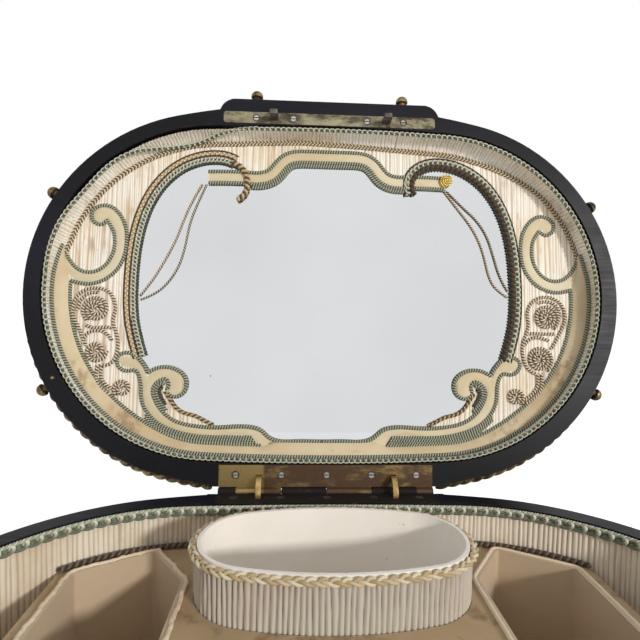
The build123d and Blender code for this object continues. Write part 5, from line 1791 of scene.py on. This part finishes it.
@dataclass
class Rosettes:
    """Coiled cord rosettes with the cords that link them, and the wire rosette."""

    left: tuple = ((-127, 94.6, 8.4), (-126, 71.7, 6.8), (-111, 51.5, 5.9))
    right: tuple = ((126.2, 93.8, 8.4), (121.8, 69.9, 8.4), (107.2, 48.4, 5.9))
    wire_place: tuple = (68.5, 172.5, 4.2)
    left_links: tuple = (
        ((-131.6, 74.8), (-133.8, 79.4), (-136.4, 85.4), (-138.8, 90.2), (-139.5, 95.4), (-137.9, 101),
         (-133, 105.4), (-126.9, 106.4), (-120.6, 104.4), (-117.4, 99.4), (-116.8, 93.4), (-117.6, 88),
         (-116, 83), (-114.6, 76.6), (-115.2, 69.8), (-118.2, 65), (-122.4, 63.8)),
        ((-137, 94), (-135.2, 100), (-130.8, 103.6), (-126, 104)),
        ((-133.6, 76.2), (-131.4, 81), (-126.4, 83), (-121.2, 81.6), (-117.8, 77.8)),
        ((-132.6, 86.2), (-128.6, 84.6), (-122, 84.9), (-118.4, 84.6)),
        ((-122.6, 64.6), (-123, 59.2), (-120.8, 54.4), (-115.8, 51)),
        ((-124.8, 64.4), (-125.4, 58.6), (-123.2, 53), (-117.6, 48.6)),
    )
    right_links: tuple = (
        ((128.6, 76), (131.6, 80.6), (134.4, 86), (136.8, 91), (137.2, 96.6), (134.6, 102.4), (129, 105.6),
         (122.8, 105.4), (117.4, 101.8), (115.2, 96), (115.6, 90), (114.4, 84.4), (112.2, 78.4),
         (112.4, 70.6), (115.2, 64.4), (120, 61.6)),
        ((134.6, 94), (132.6, 100.4), (127.4, 103.2), (121.6, 102.4)),
        ((113, 77.6), (116.6, 81.6), (122, 82.4), (127.4, 80.8)),
        ((131, 84.8), (125.6, 84.6), (119, 84.8), (115.4, 84.6)),
        ((120.4, 61.8), (120.4, 55.6), (116.6, 50), (112, 46.8)),
        ((122.6, 61.8), (122.6, 54.6), (118.2, 48.4), (112.8, 44.8)),
    )
    link_height: float = 12.95
    cord: Cord = Cord(2, 1.65, 0.62, 0.48, 0.48, sides=5, unevenness=0.2)
    wire: Cord = Cord(2, 0.8, 0.3, 0.3, 0.24, steps=7, sides=4, unevenness=0.1)
    cord_coil: tuple = (2.45, 0.9, 1.0, 12.9)
    wire_coil: tuple = (1.15, 0.6, 0.5, 12.0)

    def spiral(self, place: Point, coil: Point, turned: int) -> Route:
        """A flat spiral route, a little domed towards its middle.

        Args:
            place: X, distance from the hinge and outer radius.
            coil: Distance between turns, inner radius, the cord's own radius and height.
            turned: 1 or minus 1 for the way round.

        Returns:
            The route.
        """
        x, depth, radius = place
        pitch, start, cord_radius, height = coil
        turns = (radius - cord_radius - start) / pitch
        angle = np.linspace(0.0, TURN * turns, int(60 * turns))
        reach = start + pitch * angle / TURN
        plan = np.stack([x + turned * reach * np.cos(angle), depth + reach * np.sin(angle)], axis=1)
        dome = 0.8 * (1 - (reach / radius) ** 2)
        return Route(LID_PLACE.points(resampled(lifted(plan, height - dome), 0.3)), TO_VIEWER)

    def build(self, frame: dict) -> None:
        """Coils and links every rosette."""
        yarn = ROSETTE_CORD.material()
        sides = (("left", 1, self.left, self.left_links), ("right", -1, self.right, self.right_links))
        for name, turned, places, links in sides:
            routes = [self.spiral(place, self.cord_coil, turned) for place in places]
            routes += [on_lid(flowing(points), self.link_height) for points in links]
            made = self.cord.laid(f"rosettes_of_cord_{name}", routes, yarn, 7.0)
            settle(made, "lid", "twisted_cord", f"rosettes_{name}")
        coil = self.spiral(self.wire_place, self.wire_coil, 1)
        made = self.wire.laid("wire_coil", [coil], YELLOW_WIRE.material(), 9.0)
        settle(made, "lid", "gilt_wire", "wire_rosette")


@dataclass
class HangingLoops:
    """Four limp twisted cords that hang over the mirror's sides."""

    height: float = 13.45
    diameter: float = 1.0
    loops: tuple = (
        ("left_outer", "cream", 72.4, (
            (-71.6, 167), (-77.6, 156), (-81.6, 145.4), (-85, 135.2), (-89.4, 125.8), (-95, 115.4),
            (-100.4, 107.2), (-104, 102.6),
        )),
        ("left_inner", "grey", 78.6, (
            (-69.2, 167), (-74.6, 154.4), (-78.2, 143.4), (-79.9, 131.4), (-83, 119.6), (-89.4, 109.2),
            (-97, 103), (-103.8, 100.4),
        )),
        ("right_outer", "grey", 69.7, (
            (69, 167), (77.4, 158.4), (86.6, 150.4), (92.6, 141), (95.9, 130.4), (98.8, 119.6), (102, 112.6),
            (104.4, 108.8),
        )),
        ("right_inner", "cream", 73.5, (
            (67.4, 167), (74.4, 157.8), (82.4, 147.8), (87.6, 138.6), (90.9, 128.6), (93.2, 117.2),
            (97.4, 109.6), (104.2, 105.4),
        )),
    )
    cord: Cord = Cord(2, 1.5, 0.27, 0.27, 0.3, unevenness=0.1)

    def line(self, name: str, points: Points) -> Array:
        """The cord's own smooth spline.

        Args:
            name: Name of the curve.
            points: Its drawn points.

        Returns:
            Points along it in the frame, in metres.
        """
        data = bpy.data.curves.new(name, "CURVE")
        data.dimensions = "3D"
        data.resolution_u = 12
        spline = data.splines.new("NURBS")
        placed = LID_PLACE.points(lifted(np.asarray(points, float), self.height)) * MM
        spline.points.add(len(placed) - 1)
        for knot, place in zip(spline.points, placed):
            knot.co = (*place, 1.0)
        spline.order_u = 3
        spline.use_endpoint_u = True
        holder = new_object(name, data)
        layers = bpy.context.evaluated_depsgraph_get()
        mesh = bpy.data.meshes.new_from_object(holder.evaluated_get(layers))
        path = read(mesh.vertices, "co")
        bpy.data.objects.remove(holder)
        bpy.data.meshes.remove(mesh)
        return path

    def build(self, frame: dict) -> None:
        """Hangs the four cords."""
        yarns = {"cream": CREAM_CORD.material(), "grey": GREY_CORD.material()}
        for name, colour, length, points in self.loops:
            path = self.line(f"loop_line_{name}", points)
            made = self.cord.laid(f"hanging_loop_{name}", [Route(path / MM, TO_VIEWER)], yarns[colour], 10.0)
            settle(made, "lid", "twisted_cord", f"loop_cord_{name}")


@dataclass
class BaseLining:
    """Gathered silk round the base, the gimp over it and the floor pad."""

    wall_heights: tuple = (10.1, 18, 28, 38, 48, 56, 61, 65, 68, 71, 74, 76.5, 78.2, 79.2)
    wall_insets: tuple = (0.35,) * 13 + (0.5,)
    pleats: Gathers = Gathers(2.2, 0.62, 1.6, 1.0, 11.0, 0.3, 1.0)
    gimp: Cord = Cord(1, 5.5, 1.45, 0.75, 0.78, Lay.TWISTED, Tone.SIDE, 1.9, 20, 7, 0.12)
    header: Cord = Cord(2, 2.6, 0.42, 0.36, 0.5, steps=6, sides=5, unevenness=0.2)
    gimp_inset: float = 1.75
    backing_inset: float = 1.05
    chain_height: float = 81.0
    header_height: float = 82.9
    backing_heights: tuple = (80.2, 81.7)
    pad_inset: float = 1.7
    pad_shares: tuple = (0.02, 0.3, 0.55, 0.75, 0.88, 0.95, 0.985, 1.0, 0.995, 0.5, 0.02)
    pad_heights: tuple = (12.2, 12.3, 12.25, 12.3, 12.15, 11.8, 11.3, 10.7, 10.15, 10.12, 10.12)

    def pad(self) -> Piece:
        """A soft pad that fills the floor."""
        outline = RIM_EDGE.inset(self.pad_inset).points(1.5)
        centre = np.array([0.0, RIM_EDGE.centre])
        rows = [
            lifted(centre + (outline - centre) * share, high)
            for share, high in zip(self.pad_shares, self.pad_heights)
        ]
        points = BASE_PLACE.points(np.vstack(rows))
        return closed_outwards(mesh_object("floor_cushion", points, capped(len(rows), len(outline))))

    def ring(self, inset: float, height: float) -> Route:
        """A route round the wall, whose cord looks inwards."""
        plan = RIM_EDGE.inset(inset).points(0.8)
        return Route(BASE_PLACE.points(lifted(plan, height)), BASE_PLACE.inward(plan, True), closed=True)

    def build(self, frame: dict) -> None:
        """Makes the wall's silk, the gimp and the pad."""
        outline = RIM_EDGE.points(0.4)
        sheet = wall_sheet("base_wall_silk", outline, BASE_PLACE, self.wall_heights, self.wall_insets)
        sheet = self.pleats.made(sheet, WALL_SILK.material())
        settle(sheet, "base", "pleated_silk", "base_lining")
        back = [self.ring(self.backing_inset, height) for height in self.backing_heights]
        chain = self.ring(self.gimp_inset, self.chain_height)
        edge = self.ring(self.gimp_inset, self.header_height)
        pieces = [
            self.header.laid("base_gimp_backing", back, SAGE_GIMP.material(), 14.0),
            self.gimp.laid("base_gimp_chain", [chain], BASE_GIMP.material(), 12.0),
            self.header.laid("base_gimp_header", [edge], PALE_GIMP.material(), 13.0),
        ]
        settle(joined("base_rim_gimp", pieces), "base", "gimp_braid", "base_gimp")
        pad = settle(coated(self.pad(), BOX_SILK.material()), "base", "silk_board", "floor_pad")


@dataclass
class Insert:
    """The silk-covered insert: board, ends, boxes and the cord round it."""

    half: float = 119.0
    top: float = 64.8
    side_box: tuple = ((62.5, 47), (81.5, 21.5), (113, 39.5), (113, 97), (62.5, 97))
    front_box: tuple = ((-96, 108), (96, 108), (96, 184), (-96, 184))
    side_corner: float = 3.0
    front_corner: float = 12.0
    wall_half: float = 0.75
    edge_radius: float = 0.95
    cord: Cord = Cord(2, 3.0, 0.66, 0.66, 0.72, steps=9)
    cord_inset: float = 3.1
    cord_height: float = 65.4

    def rolled_edge(self, name: str, outline: Array, wavy: float) -> Piece:
        """The rounded silk edge along the top of a box's wall.

        Args:
            name: Name of the piece.
            outline: The closed plan line of the wall's middle.
            wavy: How far it wanders to the side and up.

        Returns:
            The edge.
        """
        plan = resampled(outline, 0.8, closed=True)
        phase = np.arange(len(plan)) * 0.8
        wave = 0.5 * np.sin(phase * 0.42) + 0.35 * np.sin(phase * 1.13 + 1.0) + 0.2 * np.sin(phase * 2.3)
        wave = wavy * wave
        line = lifted(shifted(plan, wave * 0.5, closed=True), self.top - 0.35 + np.abs(wave) * 0.5)
        return swept(name, BASE_PLACE.points(line), self.edge_radius)

    def build(self, frame: dict) -> None:
        """Dresses the insert, rolls its edges and lays its cord."""
        silk, board, edge = BOX_SILK.material(), BOARD_SILK.material(), EDGE_SILK.material()
        dress(frame, board, "insert_board")
        dress(frame, silk, "insert_ends", "side_box_left", "side_box_right", "front_box")
        side_box, front_box = np.asarray(self.side_box, float), np.asarray(self.front_box, float)
        edges = []
        for name, corners, radius, aside, wavy in (
            ("left", side_box * (-1, 1), self.side_corner, self.wall_half, 0.9),
            ("right", side_box, self.side_corner, -self.wall_half, 0.15),
            ("front", front_box, self.front_corner, self.wall_half, 0.1),
        ):
            outline = shifted(rounded(corners, radius), aside, closed=True)
            edges.append(self.rolled_edge(f"box_edge_{name}", outline, wavy))
        settle(coated(joined("rolled_box_edges", edges), edge), "base", "silk_board")
        plan = RIM_EDGE.inset(self.cord_inset).points(0.8)
        routes = []
        for front_side in (False, True):
            keep = (np.abs(plan[:, 0]) < self.half) & ((plan[:, 1] > RIM_EDGE.centre) == front_side)
            routes.append(Route(BASE_PLACE.points(lifted(unbroken(plan, keep), self.cord_height)), UPWARDS))
        made = self.cord.laid("insert_edge_cord", routes, INSERT_CORD.material(), 13.0)
        settle(made, "base", "twisted_cord", "insert_cord")


@dataclass
class Cup:
    """The white oval cup with its gathered skirt and plaited braid."""

    plan: OvalPlan = OvalPlan(56.4, 28.1, 24.0, 51.7)
    skirt_inset: float = -0.25
    skirt_heights: tuple = (61.5, 64, 68, 72, 76, 79, 81, 82.6)
    pleats: Gathers = Gathers(2.3, 1.0, 1.2, 0.8, 14.0)
    braid: Cord = Cord(3, 13.0, 1.15, 0.62, 0.68, Lay.PLAITED, steps=24, sides=7, unevenness=0.2)
    braid_inset: float = -1.75
    braid_height: float = 84.3

    def build(self, frame: dict) -> None:
        """Dresses the cup and makes skirt and braid."""
        dress(frame, CUP_GLAZE.material(), "cup")
        outline = self.plan.inset(self.skirt_inset).points(0.36)
        insets = [0.0] * len(self.skirt_heights)
        sheet = wall_sheet("cup_skirt_silk", outline, BASE_PLACE, self.skirt_heights, insets, outwards=-1)
        sheet = self.pleats.made(sheet, SKIRT_SILK.material())
        settle(sheet, "base", "pleated_silk", "cup_skirt")
        path = self.plan.inset(self.braid_inset).points(0.7)
        look = unit(UPWARDS - BASE_PLACE.inward(path, True) * 0.5)
        route = Route(BASE_PLACE.points(lifted(path, self.braid_height)), look, closed=True)
        made = self.braid.laid("cup_lip_braid", [route], BRAID_YARN.material(), 15.0)
        settle(made, "base", "gimp_braid", "cup_braid")


@dataclass
class Studio:
    """Pale floor, soft white room, one low lamp from the front right, and the camera."""

    place: Point = (-17.78, -150.24, 189.31)
    yaw: float = 2.8605
    pitch: float = -3.5332
    roll: float = 1.0905
    lens: float = 28.125
    target: Point = (0.0, 60.0, 180.0)
    lamp_bearing: float = 35.0
    lamp_elevation: float = 13.0
    lamp_distance: float = 2200.0
    lamp_size: float = 0.22
    lamp_power: float = 27.0
    lamp_colour: Point = (1.0, 0.975, 0.94)
    ambient: float = 0.5
    floor_half: float = 30000.0
    floor_colour: tuple = (0.94, 0.94, 0.94, 1.0)
    floor_glow: float = 0.6

    def direction(self, bearing: float, elevation: float) -> Vector:
        """The way to look for a bearing from +Y and an elevation."""
        level = math.cos(elevation)
        return Vector((math.sin(bearing) * level, math.cos(bearing) * level, math.sin(elevation)))

    def camera(self) -> None:
        """The camera at the photograph's place and angle."""
        yaw, pitch, roll = (math.radians(v) for v in (self.yaw, self.pitch, self.roll))
        ahead = self.direction(yaw, pitch)
        level = Vector((math.cos(yaw), -math.sin(yaw), 0.0))
        upright = level.cross(ahead)
        right = math.cos(roll) * level + math.sin(roll) * upright
        up = -math.sin(roll) * level + math.cos(roll) * upright
        turn = Matrix((right, up, -ahead)).transposed().to_4x4()
        data = bpy.data.cameras.new("photograph_camera")
        data.sensor_width, data.lens, data.clip_start, data.clip_end = 36.0, self.lens, 0.005, 100.0
        made = new_object("photograph_camera", data)
        made.matrix_world = Matrix.Translation(Vector(self.place) * MM) @ turn
        bpy.context.scene.camera = made

    def lamp(self) -> None:
        """The low lamp."""
        bearing, elevation = math.radians(self.lamp_bearing), math.radians(self.lamp_elevation)
        towards = self.direction(bearing, elevation) * Vector((1.0, -1.0, 1.0))
        data = bpy.data.lights.new("low_lamp", "AREA")
        data.shape, data.color = "DISK", self.lamp_colour
        data.size, data.energy = self.lamp_size, self.lamp_power
        made = new_object("low_lamp", data)
        made.location = Vector(self.target) * MM + towards * self.lamp_distance * MM
        made.rotation_euler = towards.to_track_quat("Z", "Y").to_euler()

    def seen_directly(self, nodes: NodeTree) -> Socket:
        """1 for camera, glossy and transmission rays."""
        path = nodes.node("ShaderNodeLightPath").outputs
        camera_or_glossy = nodes.maths("MAXIMUM", path["Is Camera Ray"], path["Is Glossy Ray"])
        return nodes.maths("MAXIMUM", camera_or_glossy, path["Is Transmission Ray"])

    def room(self) -> None:
        """The white world."""
        world = bpy.data.worlds.new("white_room")
        world.use_nodes = True
        nodes = NodeTree(world.node_tree)
        background = nodes.tree.nodes["Background"]
        inputs = {"Value": self.seen_directly(nodes), "To Min": self.ambient, "To Max": 1.0}
        nodes.feed(background.inputs["Color"], (1.0, 1.0, 1.0, 1.0))
        nodes.feed(background.inputs["Strength"], nodes.made("ShaderNodeMapRange", inputs))
        bpy.context.scene.world = world

    def floor(self) -> None:
        """The pale floor, which keeps the shadow."""
        nodes = SurfaceTree("pale_floor")
        rough = nodes.ranged(nodes.noise(3.0), 0.0, 1.0, 0.85, 0.95)
        pale = nodes.finish(self.floor_colour, rough, specular=0.0)
        strength = nodes.times(self.seen_directly(nodes), self.floor_glow)
        glow = nodes.made("ShaderNodeEmission", {"Strength": strength})
        both = nodes.node("ShaderNodeAddShader")
        nodes.feed(both.inputs[0], nodes.shader.outputs[0])
        nodes.feed(both.inputs[1], glow)
        nodes.feed(nodes.output.inputs[0], both.outputs[0])
        half = self.floor_half
        corners = np.array([(-half, -half, 0.0), (half, -half, 0.0), (half, half, 0.0), (-half, half, 0.0)])
        coated(mesh_object("floor", corners, [(0, 1, 2, 3)]), pale)

    def build(self, frame: dict) -> None:
        """Sets up camera, lamp, room and floor."""
        self.camera()
        self.lamp()
        self.room()
        self.floor()
        bpy.context.scene.view_settings.view_transform = "Standard"


def main() -> None:
    """Builds the studio and every sub-assembly."""
    logging.basicConfig(level=logging.INFO, format="%(name)s: %(message)s")
    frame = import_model()
    works = (Studio, HangingLoops, WoodCase, Metalwork, LidWall, LidPanel, RibbonWork, Piping, Rosettes,
             BaseLining, Insert, Cup)
    for work in works:
        LOG.info("building %s", work.__name__)
        work().build(frame)


if __name__ == "__main__":
    main()
